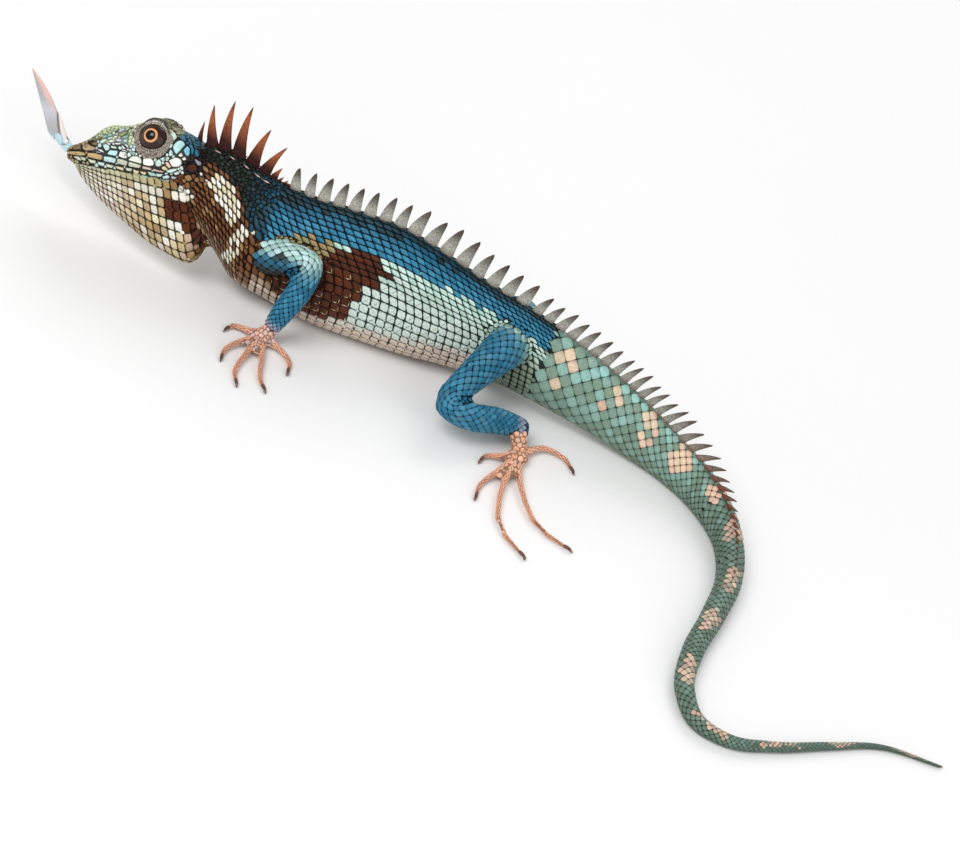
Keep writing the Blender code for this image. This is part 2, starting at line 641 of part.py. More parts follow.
def toe_pieces(palm, knuckle, joint, tip):
    """A toe from the palm over its knuckle and last joint to the floor, and its claw."""
    joint = Vector((*joint, TOE_RADIUS * 0.85))
    tip = Vector((*tip, 0.2))
    flesh_end = tip + (joint - tip).normalized() * CLAW_LENGTH * 0.85
    flesh_end.z = TOE_RADIUS * 0.62
    rows = [(*palm, TOE_RADIUS * 1.3), (*knuckle, TOE_RADIUS + KNUCKLE_LIFT, TOE_RADIUS),
            (*joint, TOE_RADIUS * 0.92), (*flesh_end, TOE_RADIUS * 0.82)]
    track = Track(rows)
    toe = tube("toe", track, 0.0, track.length, 7, 0.8, Vector((0, 0, 1)), 6)
    heading = (tip - flesh_end).normalized()
    hump = flesh_end.lerp(tip, 0.5) + Vector((0, 0, 0.2))
    claw_track = Track([(*(flesh_end - heading * 0.4), CLAW_RADIUS), (*hump, CLAW_RADIUS * 0.8),
                        (*tip, 0.1)])
    claw = tube("claw", claw_track, 0.0, claw_track.length, 5, 0.4, Vector((0, 0, 1)), 3)
    return [toe, claw]


def make_extremity(name, wrist, palm, toes, lower):
    """Hand or foot: a low palm, five arched toes with claws, flat below, clear of the limb."""
    start, middle = Vector(wrist[:3]), Vector(palm)
    hand = ball(name, middle, PALM_SIZE, segments=12, rings=7)
    pieces = [ball("heel", start, (wrist[3],) * 3, segments=10, rings=7),
              rod("sole", start, middle, wrist[3] * 0.98, PALM_RADIUS, 10)]
    for toe in toes:
        pieces += toe_pieces(palm, *toe)
    combine(hand, pieces, "UNION")
    combine(hand, [floor_cutter()], "DIFFERENCE")
    return combine(hand, [grown(lower, GAP)], "DIFFERENCE")


def turned_toes(toes, palm, new_palm, angle):
    """Toes moved with their palm and turned about it in plan."""
    turn = Matrix.Rotation(angle, 2)
    return [tuple(tuple(turn @ (Vector(point) - Vector(palm[:2])) + Vector(new_palm[:2]))
                  for point in toe) for toe in toes]


def make_limbs(core):
    nodes = {}
    flat = (Vector((0.0, 0.0)), 0.0, 1.0, 1.0)
    far_toes = [tuple(mirrored(point, flat) for point in toe) for toe in FOOT_TOES]
    far_toes = turned_toes(far_toes, mirrored(FOOT_PALM, flat), FAR_FOOT_PALM, FAR_FOOT_TURN)
    far_arm = [mirrored(row, ARM_MIRROR) for row in ARM]
    far_hand = mirrored(HAND_PALM, ARM_MIRROR)
    far_fingers = [tuple(mirrored(point, ARM_MIRROR) for point in toe) for toe in HAND_TOES]
    limbs = (
        ("left", ("upper_arm", "forearm", "hand"), ARM, ARM_ELBOW, HAND_PALM, HAND_TOES),
        ("right", ("upper_arm", "forearm", "hand"), far_arm, ARM_ELBOW, far_hand, far_fingers),
        ("left", ("thigh", "shin", "foot"), LEG, LEG_KNEE, FOOT_PALM, FOOT_TOES),
        ("right", ("thigh", "shin", "foot"), FAR_LEG, LEG_KNEE, FAR_FOOT_PALM, far_toes),
    )
    for side, names, rows, bend, palm, toes in limbs:
        own = [f"{name}_{side}" for name in names]
        upper, lower = limb_pieces(own, rows, bend, core)
        nodes[own[0]], nodes[own[1]] = upper, lower
        nodes[own[2]] = make_extremity(own[2], rows[-1], palm, toes, lower)
    return nodes


def colour_name(name):
    for key in COLOURS:
        if name == key or name.rsplit("_", 1)[0] == key:
            return key
    return "torso_front"


def paint(obj):
    key = colour_name(obj.name)
    material = bpy.data.materials.new(obj.name)
    material.use_nodes = True
    shader = material.node_tree.nodes["Principled BSDF"]
    shader.inputs["Base Color"].default_value = (*COLOURS[key], 1.0)
    shader.inputs["Roughness"].default_value = ROUGHNESS.get(key, 0.6)
    obj.data.materials.clear()
    obj.data.materials.append(material)


def main():
    for obj in list(bpy.data.objects):
        bpy.data.objects.remove(obj)
    track = body_track()
    nodes = make_body(track)
    core = body_core(track)
    skull = make_skull()
    jaw = make_jaw()
    combine(nodes["neck"], [grown(skull, GAP), grown(jaw, GAP)], "DIFFERENCE")
    nodes["throat_pouch"] = make_pouch([grown(skull, GAP), grown(jaw, GAP), grown(core)])
    nodes["horn"] = make_horn(grown(skull, GAP))
    nodes["head"] = skull
    nodes["jaw"] = jaw
    nodes.update(make_eyes())
    nodes.update(make_limbs(core))
    bpy.data.objects.remove(core)
    model = bpy.data.collections.new("nose_horned_lizard")
    bpy.context.scene.collection.children.link(model)
    for name, node in nodes.items():
        node.name = name
        node.data.name = name
        node.data.transform(Matrix.Scale(MM, 4))
        node.data.shade_smooth()
        node.data.set_sharp_from_angle(angle=SMOOTH_ANGLE)
        paint(node)
        bpy.context.scene.collection.objects.unlink(node)
        model.objects.link(node)


main()
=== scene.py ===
"""Looks of the nose-horned lizard: one skin over the whole animal, a coat of solid scales
and plates on it, and eyes, horn, crest and claws as pieces of their own.

Sizes are in millimetres and each finished mesh is scaled to metres. The head points to -X
and the left side, which the camera sees, faces -Y. Two kinds of surface coordinates are
used: a place along the body or a limb with a share round it, and forward, up and left of
the head.
"""

import math
import random

import bmesh
import bpy
import numpy as np
from mathutils import Matrix, Vector
from mathutils.bvhtree import BVHTree
from mathutils.kdtree import KDTree


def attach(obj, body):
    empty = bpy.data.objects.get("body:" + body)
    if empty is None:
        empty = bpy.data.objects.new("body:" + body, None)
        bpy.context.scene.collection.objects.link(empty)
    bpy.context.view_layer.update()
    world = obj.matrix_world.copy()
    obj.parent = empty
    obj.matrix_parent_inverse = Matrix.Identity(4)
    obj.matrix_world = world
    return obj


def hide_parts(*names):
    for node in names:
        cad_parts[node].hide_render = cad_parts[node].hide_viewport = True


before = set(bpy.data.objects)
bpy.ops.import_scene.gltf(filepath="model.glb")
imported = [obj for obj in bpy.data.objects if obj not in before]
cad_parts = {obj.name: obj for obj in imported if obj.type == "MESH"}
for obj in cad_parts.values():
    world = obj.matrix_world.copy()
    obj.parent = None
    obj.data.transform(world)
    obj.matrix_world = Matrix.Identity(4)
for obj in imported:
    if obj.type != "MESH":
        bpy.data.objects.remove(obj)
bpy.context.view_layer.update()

MM = 0.001
SEED = 7

# The body as in the solids: x, y, underside, ridge, half width, lean of the ridge along x
# and y, and roof, which is 2 for a round upper half and less for one that runs to a ridge.
SPINE = [
    (-33.0, -5.4, 9.8, 20.8, 5.0, -6.0, 5.0, 1.75),
    (-29.6, -4.8, 7.6, 22.6, 5.8, -5.2, 4.2, 1.65),
    (-26.0, -3.9, 4.9, 22.7, 6.4, -3.4, 2.8, 1.6),
    (-22.0, -3.1, 2.0, 21.7, 7.2, -1.2, 1.2, 1.55),
    (-15.0, -2.2, 0.9, 21.3, 7.8, 0.0, 0.0, 1.5),
    (-7.0, -1.3, -0.25, 22.2, 7.6, 0.0, 0.0, 1.5),
    (1.0, 0.3, -0.25, 22.5, 7.5, 0.0, 0.0, 1.5),
    (9.0, 2.3, -0.1, 20.6, 7.2, 0.0, 0.0, 1.5),
    (17.0, 3.9, 0.8, 18.3, 6.4, 0.0, 0.0, 1.5),
    (26.0, 4.4, 1.7, 17.2, 5.4, 0.0, 0.0, 1.5),
    (37.0, 4.4, 1.4, 15.2, 4.4, 0.0, 0.0, 1.5),
    (48.0, 4.0, 0.6, 12.2, 3.4, 0.0, 0.0, 1.6),
    (58.0, 2.4, 0.0, 9.0, 2.7, 0.0, 0.0, 1.75),
]
TAIL_BENDS = [
    (65.6, -0.6), (71.4, -7.5), (74.1, -17.3), (73.6, -28.4), (72.4, -38.7), (73.2, -48.0),
    (76.6, -53.2), (81.6, -53.6), (88.6, -49.9), (97.3, -43.1), (105.6, -37.0), (116.4, -34.2),
]
TAIL_HEIGHT = (7.4, 0.9)
TAIL_SLIMNESS = 0.84
CORE_SHARE = 0.42  # share of the height under the widest level, where the roof is 1.5
TAIL_SINK = 0.06  # share of its height by which the tail is sunk, so that it lies flat

# Head frame.
HEAD_ORIGIN = Vector((-36.6, -4.2, 15.4))
HEAD_BOW, HEAD_TURN, HEAD_ROLL = math.radians(20.1), math.radians(4.0), math.radians(24.0)
EYE_AT, EYE_AXIS = Vector((2.35, 4.55, 3.4)), Vector((0.05, 0.28, 0.96))
EYE_RADIUS = 2.6
EAR_AT = Vector((-4.9, 1.1, 6.2))
POUCH = [
    (16.8, -1.4, 0.9), (15.4, -3.2, 1.6), (13.2, -5.4, 2.4), (10.6, -7.5, 3.2),
    (7.1, -9.9, 3.9), (2.2, -13.0, 4.7), (-1.9, -14.7, 4.9), (-4.3, -15.5, 4.6),
    (-5.6, -14.8, 4.2), (-6.6, -12.6, 3.8),
]
POUCH_ROOT, POUCH_KEEL = -0.8, 0.5
HORN_ROOT, HORN_ROOT_WIDTH = Vector((17.3, 0.5, 0.0)), 1.8
BLADE_FRONT, BLADE_TIP = Vector((21.45, 3.2, 0.0)), Vector((25.05, 13.0, 0.0))
BLADE_WIDTH, BLADE_THICK, BLADE_TAPER, BLADE_TIP_WIDTH = 2.4, 1.1, 2.2, 0.14
SPUR_FOOT, SPUR_TIP, SPUR_RADIUS = Vector((18.5, 2.1, 0.0)), Vector((19.9, 6.6, 0.0)), 0.5

# Limbs: centre points with radii, then the toes as knuckle, last joint and claw tip. A
# mirror is a point and the angle of a line in plan, then shares of width and height kept.
ARM = [(-19.5, -3.4, 8.2, 3.3), (-16.8, -7.4, 10.6, 3.2), (-12.6, -9.6, 13.4, 2.9),
       (-8.9, -10.4, 14.6, 2.3), (-8.7, -12.4, 11.0, 2.2), (-9.6, -13.7, 6.6, 2.0),
       (-10.3, -14.4, 3.1, 1.55)]
HAND_PALM = (-11.0, -15.2, 1.15)
HAND_TOES = [((-14.5, -15.2), (-16.4, -15.4), (-16.9, -17.5)),
             ((-13.7, -19.0), (-15.0, -22.8), (-14.5, -25.2)),
             ((-11.7, -21.4), (-11.6, -26.4), (-10.0, -29.3)),
             ((-9.0, -20.8), (-7.6, -24.8), (-5.6, -27.3)),
             ((-7.4, -15.8), (-4.9, -17.4), (-4.3, -20.4))]
LEG = [(25.5, 1.5, 11.5, 4.0), (24.4, -3.6, 11.2, 3.4), (22.1, -10.4, 8.9, 2.65),
       (20.9, -15.8, 6.2, 2.25), (24.8, -14.5, 5.3, 2.4), (29.2, -10.6, 4.3, 2.3),
       (33.0, -7.4, 3.0, 1.85)]
FOOT_PALM = (34.9, -12.4, 1.2)
FOOT_TOES = [((31.6, -14.9), (29.9, -15.8), (29.6, -18.0)),
             ((32.6, -19.6), (31.3, -23.6), (31.7, -27.4)),
             ((34.9, -23.6), (37.4, -31.4), (43.0, -35.3)),
             ((37.8, -20.2), (42.8, -26.5), (49.3, -28.0)),
             ((38.4, -6.6), (42.4, -6.2), (44.6, -8.7))]
LIMB_CALM = 3.4  # reach over which a limb's heading is taken
TOE_RADIUS, CLAW_LENGTH, CLAW_RADIUS, KNUCKLE_LIFT = 0.66, 1.5, 0.38, 0.35
CLAW_FLOOR = 0.02  # least height of a claw over the floor
ARM_MIRROR = (Vector((-14.0, -2.0)), math.radians(8.0), 1.03, 0.84)
FLAT_MIRROR = (Vector((0.0, 0.0)), 0.0, 1.0, 1.0)
FAR_LEG = [(25.5, 6.5, 11.0, 4.1), (24.8, 10.4, 10.4, 3.8), (22.8, 14.4, 7.8, 3.2),
           (20.3, 17.6, 5.4, 2.5), (24.4, 15.9, 4.9, 2.4), (29.0, 13.5, 4.0, 2.2),
           (33.0, 11.6, 2.9, 1.8)]
FAR_FOOT_PALM, FAR_FOOT_TURN = (29.2, 13.2, 1.2), math.radians(84.0)

# Crest: x of the root, length, base and lean for the nape, then spine number, distance
# along the body, length and lean for back and tail.
NAPE = [(-31.9, 6.6, 2.4, -29.0), (-29.9, 8.0, 2.6, -27.5), (-27.4, 8.4, 2.8, -29.0),
        (-24.8, 7.0, 2.6, -21.5), (-22.6, 6.0, 2.1, 0.0), (-20.9, 2.3, 1.3, 8.0)]
THORN_ROOT, THORN_TIP, THORN_RADIUS = Vector((-4.1, 4.3, 0.0)), Vector((-4.7, 8.1, 0.0)), 0.5
CREST = [(0, 17.2, 4.1, -11.0), (2, 21.9, 4.5, 0.0), (8, 37.6, 4.9, 5.0), (12, 50.1, 5.3, 9.5),
         (16, 61.7, 4.1, 19.0), (23, 77.9, 4.1, 17.0), (30, 91.1, 4.6, 26.0),
         (35, 101.5, 3.7, 50.0), (39, 109.1, 2.5, 62.0), (43, 116.4, 0.8, 60.0),
         (47, 124.0, 0.5, 60.0)]
CREST_PACKING = 0.84
BLADE_CURL = math.radians(9.0)

# Skin.
SCALE_DEPTH = 0.25  # how far the skin lies inside the solids
SKIN_GROW = 0.2  # how far each part is grown so that all join in one skin
RING_STEP = 1.2  # distance between the rings of the trunk
VOXEL = 0.385
SKIN_FLOOR = 0.12  # least height of the skin over the floor
FLESH = ["head", "jaw", "throat_pouch"] + [
    f"{part}_{side}" for side in ("left", "right")
    for part in ("upper_arm", "forearm", "hand", "thigh", "shin", "foot")]
TRUNK = ["neck", "torso_front", "torso_rear"] + [f"tail_{i}" for i in range(1, 7)]


def head_axes():
    """Forward, up and left of the head as unit vectors."""
    forward = Vector((-math.cos(HEAD_BOW) * math.cos(HEAD_TURN),
                      -math.cos(HEAD_BOW) * math.sin(HEAD_TURN), -math.sin(HEAD_BOW)))
    left = Vector((math.sin(HEAD_TURN), -math.cos(HEAD_TURN), 0.0))
    up = forward.cross(left)
    rolled_left = left * math.cos(HEAD_ROLL) + up * math.sin(HEAD_ROLL)
    rolled_up = up * math.cos(HEAD_ROLL) - left * math.sin(HEAD_ROLL)
    return forward, rolled_up, rolled_left


HEAD_AXES = np.array([list(axis) for axis in head_axes()])


def in_head(places):
    """Forward, up, left places of the head as points of the model."""
    return np.asarray(places, float) @ HEAD_AXES + np.array(HEAD_ORIGIN)


def to_head(points):
    return (np.asarray(points, float) - np.array(HEAD_ORIGIN)) @ HEAD_AXES.T


def unit(vectors):
    length = np.linalg.norm(vectors, axis=-1, keepdims=True)
    return vectors / np.maximum(length, 1e-9)


class Track:
    """A smooth curve through rows of numbers whose first three are a place."""

    def __init__(self, rows):
        self.rows = np.array(rows, float)
        steps = np.linalg.norm(np.diff(self.rows[:, :3], axis=0), axis=1)
        self.knots = np.concatenate([[0.0], np.cumsum(steps)])
        self.slopes = np.gradient(self.rows, self.knots, axis=0)
        self.length = float(self.knots[-1])

    def at(self, distance):
        distance = min(max(distance, 0.0), self.length)
        last = len(self.knots) - 2
        i = min(int(np.searchsorted(self.knots, distance, side="right")) - 1, last)
        span = self.knots[i + 1] - self.knots[i]
        u = (distance - self.knots[i]) / span
        start, end = self.rows[i], self.rows[i + 1]
        leave, arrive = self.slopes[i] * span, self.slopes[i + 1] * span
        return ((2 * u**3 - 3 * u**2 + 1) * start + (u**3 - 2 * u**2 + u) * leave
                + (3 * u**2 - 2 * u**3) * end + (u**3 - u**2) * arrive)

    def place(self, distance):
        return Vector(self.at(distance)[:3])

    def heading(self, distance, reach):
        return (self.place(distance + reach) - self.place(distance - reach)).normalized()


def body_track():
    rows = []
    for x, y, under, ridge, half, lean_x, lean_y, roof in SPINE:
        rows.append((x, y, (under + ridge) / 2, ridge - under, half, lean_x, lean_y, roof))
    for i, (x, y) in enumerate(TAIL_BENDS):
        share = i / (len(TAIL_BENDS) - 1)
        height = TAIL_HEIGHT[0] + (TAIL_HEIGHT[1] - TAIL_HEIGHT[0]) * share**0.62
        slim = TAIL_SLIMNESS + (1 - TAIL_SLIMNESS) * min(1.0, share * 2.5)
        rows.append((x, y, height / 2 - TAIL_SINK * height, height, height * slim / 2,
                     0.0, 0.0, 1.8 + 0.2 * min(1.0, share * 4)))
    return Track(rows)


def body_frame(track, distance):
    """Centre, up, side, heights over and under the widest level, half width, roof."""
    row = track.at(distance)
    height, half, lean_x, lean_y, roof = row[3:8]
    up = Vector((lean_x, lean_y, height)).normalized()
    heading = track.heading(distance, half * 0.9)
    side = Vector((heading.y, -heading.x, 0.0))
    side = (side - up * side.dot(up)).normalized()
    share = CORE_SHARE + (0.5 - CORE_SHARE) * (roof - 1.5) / 0.5
    centre = Vector(row[:3]) - up * height * (0.5 - share)
    return centre, up, side, height * (1 - share), height * share, half, roof


def body_ring(track, distance, sides, grow=0.0):
    """Points round the body from the ridge over the left side, never under the floor."""
    centre, up, side, over, under, half, roof = body_frame(track, distance)
    angles = 2 * np.pi * np.arange(sides) / sides
    across, rise = np.sin(angles), np.cos(angles)
    power = np.where(rise > 0, 2 / roof, 2 / 2.15)
    reach = np.where(rise > 0, over, under) + grow
    flat = np.sign(across) * np.abs(across)**power * (half + grow)
    tall = np.sign(rise) * np.abs(rise)**power * reach
    ring = np.array(centre) + np.outer(flat, side) + np.outer(tall, up)
    ring[:, 2] = np.maximum(ring[:, 2], -grow)
    return ring


def ridge_point(track, distance):
    centre, up, _, over = body_frame(track, distance)[:4]
    return centre + up * over


def tube_ring(track, distance, sides, reach, normal, grow=0.0):
    """Points round a limb or toe, the first towards the normal."""
    heading = track.heading(distance, reach)
    across = (normal - heading * normal.dot(heading)).normalized()
    third = heading.cross(across)
    angles = 2 * np.pi * np.arange(sides) / sides
    radius = track.at(distance)[3] + grow
    return (np.array(track.place(distance)) + np.outer(np.cos(angles), across) * radius
            + np.outer(np.sin(angles), third) * radius)


def pouch_ring(forward, sides):
    """Half outline of the pouch at a place along the head, from its root to the keel."""
    places, lowers, halves = zip(*POUCH[::-1])
    lower, half = np.interp(forward, places, lowers), np.interp(forward, places, halves)
    share = np.linspace(0.0, np.pi / 2, sides)
    width = POUCH_KEEL + (half - POUCH_KEEL) * np.cos(share)**0.75
    level = POUCH_ROOT - (POUCH_ROOT - lower) * np.sin(share)**1.15
    return np.stack([np.full(sides, forward), level, width], axis=1)


def evened(ring, count, closed=True):
    """The ring's points spread evenly along it."""
    points = np.vstack([ring, ring[:1]]) if closed else ring
    steps = np.linalg.norm(np.diff(points, axis=0), axis=1)
    along = np.concatenate([[0.0], np.cumsum(steps)])
    wanted = np.linspace(0.0, along[-1], count + 1)[:-1] if closed else (
        np.linspace(0.0, along[-1], count))
    return np.stack([np.interp(wanted, along, points[:, axis]) for axis in range(3)], axis=1)


class Wrap:
    """The skin over one length of the animal, by distance along it and share round it."""

    def __init__(self, places, rings, tree, closed=True, search=2.0, slack=0.75,
                 depth=SCALE_DEPTH):
        self.places, self.closed = np.asarray(places, float), closed
        self.count, self.tree = rings.shape[1], tree
        self.points, self.open = self.dropped(rings, tree, search, slack, depth)
        self.normals = self.facing(self.points)
        for _ in range(2):
            self.normals = unit(self.blurred(self.normals))
        around = np.diff(self.points, axis=1)
        self.girth = np.linalg.norm(around, axis=2).sum(axis=1) * (
            self.count / (self.count - 1) if closed else 1.0)

    def facing(self, grid):
        if self.closed:
            around = np.roll(grid, -1, axis=1) - np.roll(grid, 1, axis=1)
        else:
            around = np.gradient(grid, axis=1)
        along = np.gradient(grid, axis=0)
        normals = unit(np.cross(around, along))
        middle = grid.mean(axis=1, keepdims=True)
        if ((grid - middle) * normals).sum() < 0:
            normals = -normals
        return normals

    def blurred(self, grid):
        out = grid.copy()
        out[1:-1] = (grid[:-2] + 2 * grid[1:-1] + grid[2:]) / 4
        if self.closed:
            return (np.roll(out, 1, axis=1) + 2 * out + np.roll(out, -1, axis=1)) / 4
        inner = out.copy()
        inner[:, 1:-1] = (out[:, :-2] + 2 * out[:, 1:-1] + out[:, 2:]) / 4
        return inner

    def dropped(self, rings, tree, search, slack, depth):
        """The rings moved on to the skin, and where the skin is really there."""
        normals = self.facing(rings)
        points, there = rings - normals * depth, np.zeros(rings.shape[:2], bool)
        if tree is None:
            return points, ~there
        for index in np.ndindex(there.shape):
            start = Vector(rings[index] + normals[index] * search)
            hit, _, _, distance = tree.ray_cast(start, Vector(-normals[index]), search * 2.2)
            if hit is not None and abs(distance - search - SCALE_DEPTH) < slack:
                points[index], there[index] = hit, True
        return points, there

    def at(self, along, share):
        """Points, normals and whether the skin is there, for arrays of surface places."""
        row = np.interp(along, self.places, np.arange(len(self.places)))
        low = np.minimum(row.astype(int), len(self.places) - 2)
        u = (row - low)[..., None]
        if self.closed:
            column = np.mod(share, 1.0) * self.count
            left = np.floor(column).astype(int) % self.count
            right = (left + 1) % self.count
            v = (column - np.floor(column))[..., None]
        else:
            column = np.clip(share, 0.0, 1.0) * (self.count - 1)
            left = np.minimum(column.astype(int), self.count - 2)
            right = left + 1
            v = (column - left)[..., None]
        mixed = []
        for grid in (self.points, self.normals):
            near = grid[low, left] * (1 - v) + grid[low, right] * v
            far = grid[low + 1, left] * (1 - v) + grid[low + 1, right] * v
            mixed.append(near * (1 - u) + far * u)
        there = (self.open[low, left] & self.open[low + 1, left]
                 & self.open[low, right] & self.open[low + 1, right])
        return mixed[0], unit(mixed[1]), there

    def girth_at(self, along):
        return np.interp(along, self.places, self.girth)


def link(obj):
    bpy.context.scene.collection.objects.link(obj)
    return obj


def loft(bm, rings, tints=None, hollow=False):
    """Closed skin over rings of equal count, or a hollow one that runs back to the first."""
    layer = bm.verts.layers.float_color.get("coat") or bm.verts.layers.float_color.new("coat")
    loops = []
    for i, ring in enumerate(rings):
        verts = bmesh.ops.create_circle(bm, segments=len(ring), radius=1.0)["verts"]
        for vert, point in zip(verts, ring):
            vert.co = Vector(point)
            if tints is not None:
                vert[layer] = tints[i]
        loops.append((verts, list({edge for vert in verts for edge in vert.link_edges})))
    for (_, near), (_, far) in zip(loops, loops[1:]):
        bmesh.ops.bridge_loops(bm, edges=near + far)
    if hollow:
        bmesh.ops.bridge_loops(bm, edges=loops[0][1] + loops[-1][1])
    else:
        for verts, _ in (loops[0], loops[-1]):
            bmesh.ops.contextual_create(bm, geom=verts)
    return [vert for verts, _ in loops for vert in verts]


def make_object(name, bm):
    """A smooth object in metres from a bmesh in millimetres."""
    bmesh.ops.recalc_face_normals(bm, faces=bm.faces)
    mesh = bpy.data.meshes.new(name)
    bm.to_mesh(mesh)
    bm.free()
    mesh.transform(Matrix.Scale(MM, 4))
    mesh.shade_smooth()
    return link(bpy.data.objects.new(name, mesh))


def part_copy(bm, node):
    """Adds a merged copy of a solid, grown a little, in millimetres."""
    part = bmesh.new()
    part.from_mesh(node.data)
    bmesh.ops.scale(part, vec=(1 / MM,) * 3, verts=part.verts)
    bmesh.ops.remove_doubles(part, verts=part.verts, dist=1e-3)
    part.normal_update()
    for vert in part.verts:
        vert.co += vert.normal * SKIN_GROW
    mesh = bpy.data.meshes.new("part")
    part.to_mesh(mesh)
    part.free()
    bm.from_mesh(mesh)
    bpy.data.meshes.remove(mesh)


def make_skin(track):
    """One skin over head, trunk, tail and limbs, moved in by the depth of the scales."""
    bm = bmesh.new()
    for name in FLESH:
        part_copy(bm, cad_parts[name])
    places = np.linspace(0.0, track.length, int(track.length / RING_STEP) + 1)
    loft(bm, [body_ring(track, s, 40, SKIN_GROW) for s in places])
    bmesh.ops.recalc_face_normals(bm, faces=bm.faces)
    mesh = bpy.data.meshes.new("skin")
    bm.to_mesh(mesh)
    bm.free()
    skin = link(bpy.data.objects.new("skin", mesh))
    step = skin.modifiers.new("one_skin", "REMESH")
    step.mode = "VOXEL"
    step.voxel_size = VOXEL
    depsgraph = bpy.context.evaluated_depsgraph_get()
    joined = bpy.data.meshes.new_from_object(skin.evaluated_get(depsgraph))
    skin.modifiers.clear()
    skin.data = joined
    smooth_in(joined)
    return skin


# The mouth's line: places along the head and their levels, then its half width and depth.
MOUTH = ((-2.0, 1.0, 4.0, 8.0, 11.0, 14.0, 17.8), (-0.8, -0.52, -0.45, -0.34, -0.17, 0.07, -0.1))
MOUTH_HALF, MOUTH_DEPTH = 0.26, 0.25
# The socket of an eye: how far it reaches out from the eye's axis and down from its centre,
# the level that the skin keeps under near the eye, and where and how far this level rises.
SOCKET_REACH, SOCKET_FLOOR, SOCKET_LEVEL = 2.95, -1.0, 1.0
SOCKET_FLAT, SOCKET_SLOPE, SOCKET_RISE = 2.5, 0.45, 0.35


def eye_axes(side):
    """Centre of an eye, its outward axis, and the forward and upward axes across it."""
    flip = np.array([1, 1, side])
    centre = in_head(np.array(EYE_AT) * flip)
    axis = unit(in_head(np.array(EYE_AXIS) * flip) - np.array(HEAD_ORIGIN))
    ahead = unit(np.cross(axis, HEAD_AXES[1])) * side
    above = unit(HEAD_AXES[1] - axis * (axis @ HEAD_AXES[1]))
    return centre, axis, ahead, above


def smooth_in(mesh):
    """Evens the skin and moves it in, with a groove along the mouth and room for the eyes."""
    bm = bmesh.new()
    bm.from_mesh(mesh)
    for _ in range(3):
        bmesh.ops.smooth_vert(bm, verts=bm.verts, factor=0.5, use_axis_x=True,
                              use_axis_y=True, use_axis_z=True)
    bm.normal_update()
    places = to_head([vert.co for vert in bm.verts])
    for vert, (forward, up, _) in zip(bm.verts, places):
        depth = SKIN_GROW + SCALE_DEPTH
        level = np.interp(forward, *MOUTH)
        if MOUTH[0][0] < forward < MOUTH[0][-1] and abs(up - level) < MOUTH_HALF:
            depth += MOUTH_DEPTH
        vert.co -= vert.normal * depth
        vert.co.z = max(vert.co.z, SKIN_FLOOR)
    for side in (1, -1):
        centre, axis, _, _ = eye_axes(side)
        for vert in bm.verts:
            away = np.array(vert.co) - centre
            rise = away @ axis
            out = math.sqrt(max(away @ away - rise * rise, 0.0))
            if out < SOCKET_REACH and rise > SOCKET_FLOOR:
                sloped = min(max((out - SOCKET_FLAT) / SOCKET_SLOPE, 0.0), 1.0)
                limit = SOCKET_LEVEL + SOCKET_RISE * sloped
                vert.co -= Vector(axis) * max(rise - limit, 0.0)
    bm.to_mesh(mesh)
    bm.free()


def tree_of(mesh):
    return BVHTree.FromPolygons([vert.co.copy() for vert in mesh.vertices],
                                [tuple(face.vertices) for face in mesh.polygons])


def tint(code):
    """A colour from its usual six-figure code to linear light."""
    values = [int(code[i:i + 2], 16) / 255 for i in (0, 2, 4)]
    return np.array([v / 12.92 if v <= 0.04045 else ((v + 0.055) / 1.055)**2.4 for v in values])


TINTS = {name: tint(code) for name, code in {
    "ink": "100d0a", "blue": "1e6e8f", "bright_blue": "448fb0", "deep_blue": "124f69",
    "night": "0d3846", "black_green": "0f1713", "moss": "2b3a31", "mint": "a2c8b9",
    "pale_mint": "cde4da", "flank": "cbdfd8", "belly": "d9c8b8", "tan": "a5895f",
    "olive": "8a8c62", "maroon": "401802", "rust": "5f2b0a", "cream": "ddd1ac",
    "white": "f1efe7", "pouch": "b5905a", "pouch_rim": "97774c", "pouch_green": "a3a678",
    "tail": "7f9682", "aqua": "93c1ba", "grey_teal": "586a5b", "salmon": "e4c3aa",
    "pink": "d9a294", "toe": "f2b291", "toe_band": "b4674a", "wrist": "9a9cad",
    "wrist_pale": "c9cfda", "head_blue": "c2e0e0", "temple": "bbe4e6", "temple_blue": "7fc3d2",
    "nape_blue": "1f6a84", "dome": "cfe0b8", "snout": "84704f", "snout_pale": "b29b77",
    "lip": "c8ab7d", "pale_lip": "cbd3bb", "pink_lip": "dfc4b9", "lid": "b0a598",
    "lid_pale": "d8d4ca", "lid_dark": "6d4f44", "spine": "aeada2", "spine_dark": "6d6a60",
    "spine_tip": "4f3a2e", "spine_red": "7e4635", "nape_spine": "a95d38", "nape_root": "35110a",
    "claw": "6e4c3b", "horn": "aaaaac", "horn_pink": "dcb4ac", "horn_root": "b9d5dd",
    "ear": "260c07", "brow": "3a3423",
}.items()}


def mixed(first, second, share):
    a = TINTS[first] if isinstance(first, str) else first
    b = TINTS[second] if isinstance(second, str) else second
    return a + (b - a) * min(max(share, 0.0), 1.0)


SHOULDER, CROWN = 0.975, 0.84  # width of a scale's shoulder and crown over its foot
SCALE_FLOOR = 0.015  # least height of a scale over the floor
SUNK = 0.12  # how far a scale's rim reaches into the skin
BURIED = 0.1  # a scale whose middle lies deeper in the skin than this is left out
PATCH = 0.003  # width of a scale's patch on the bake map
FINE, ROUND = 8, 16  # corners of a small scale and of a plate


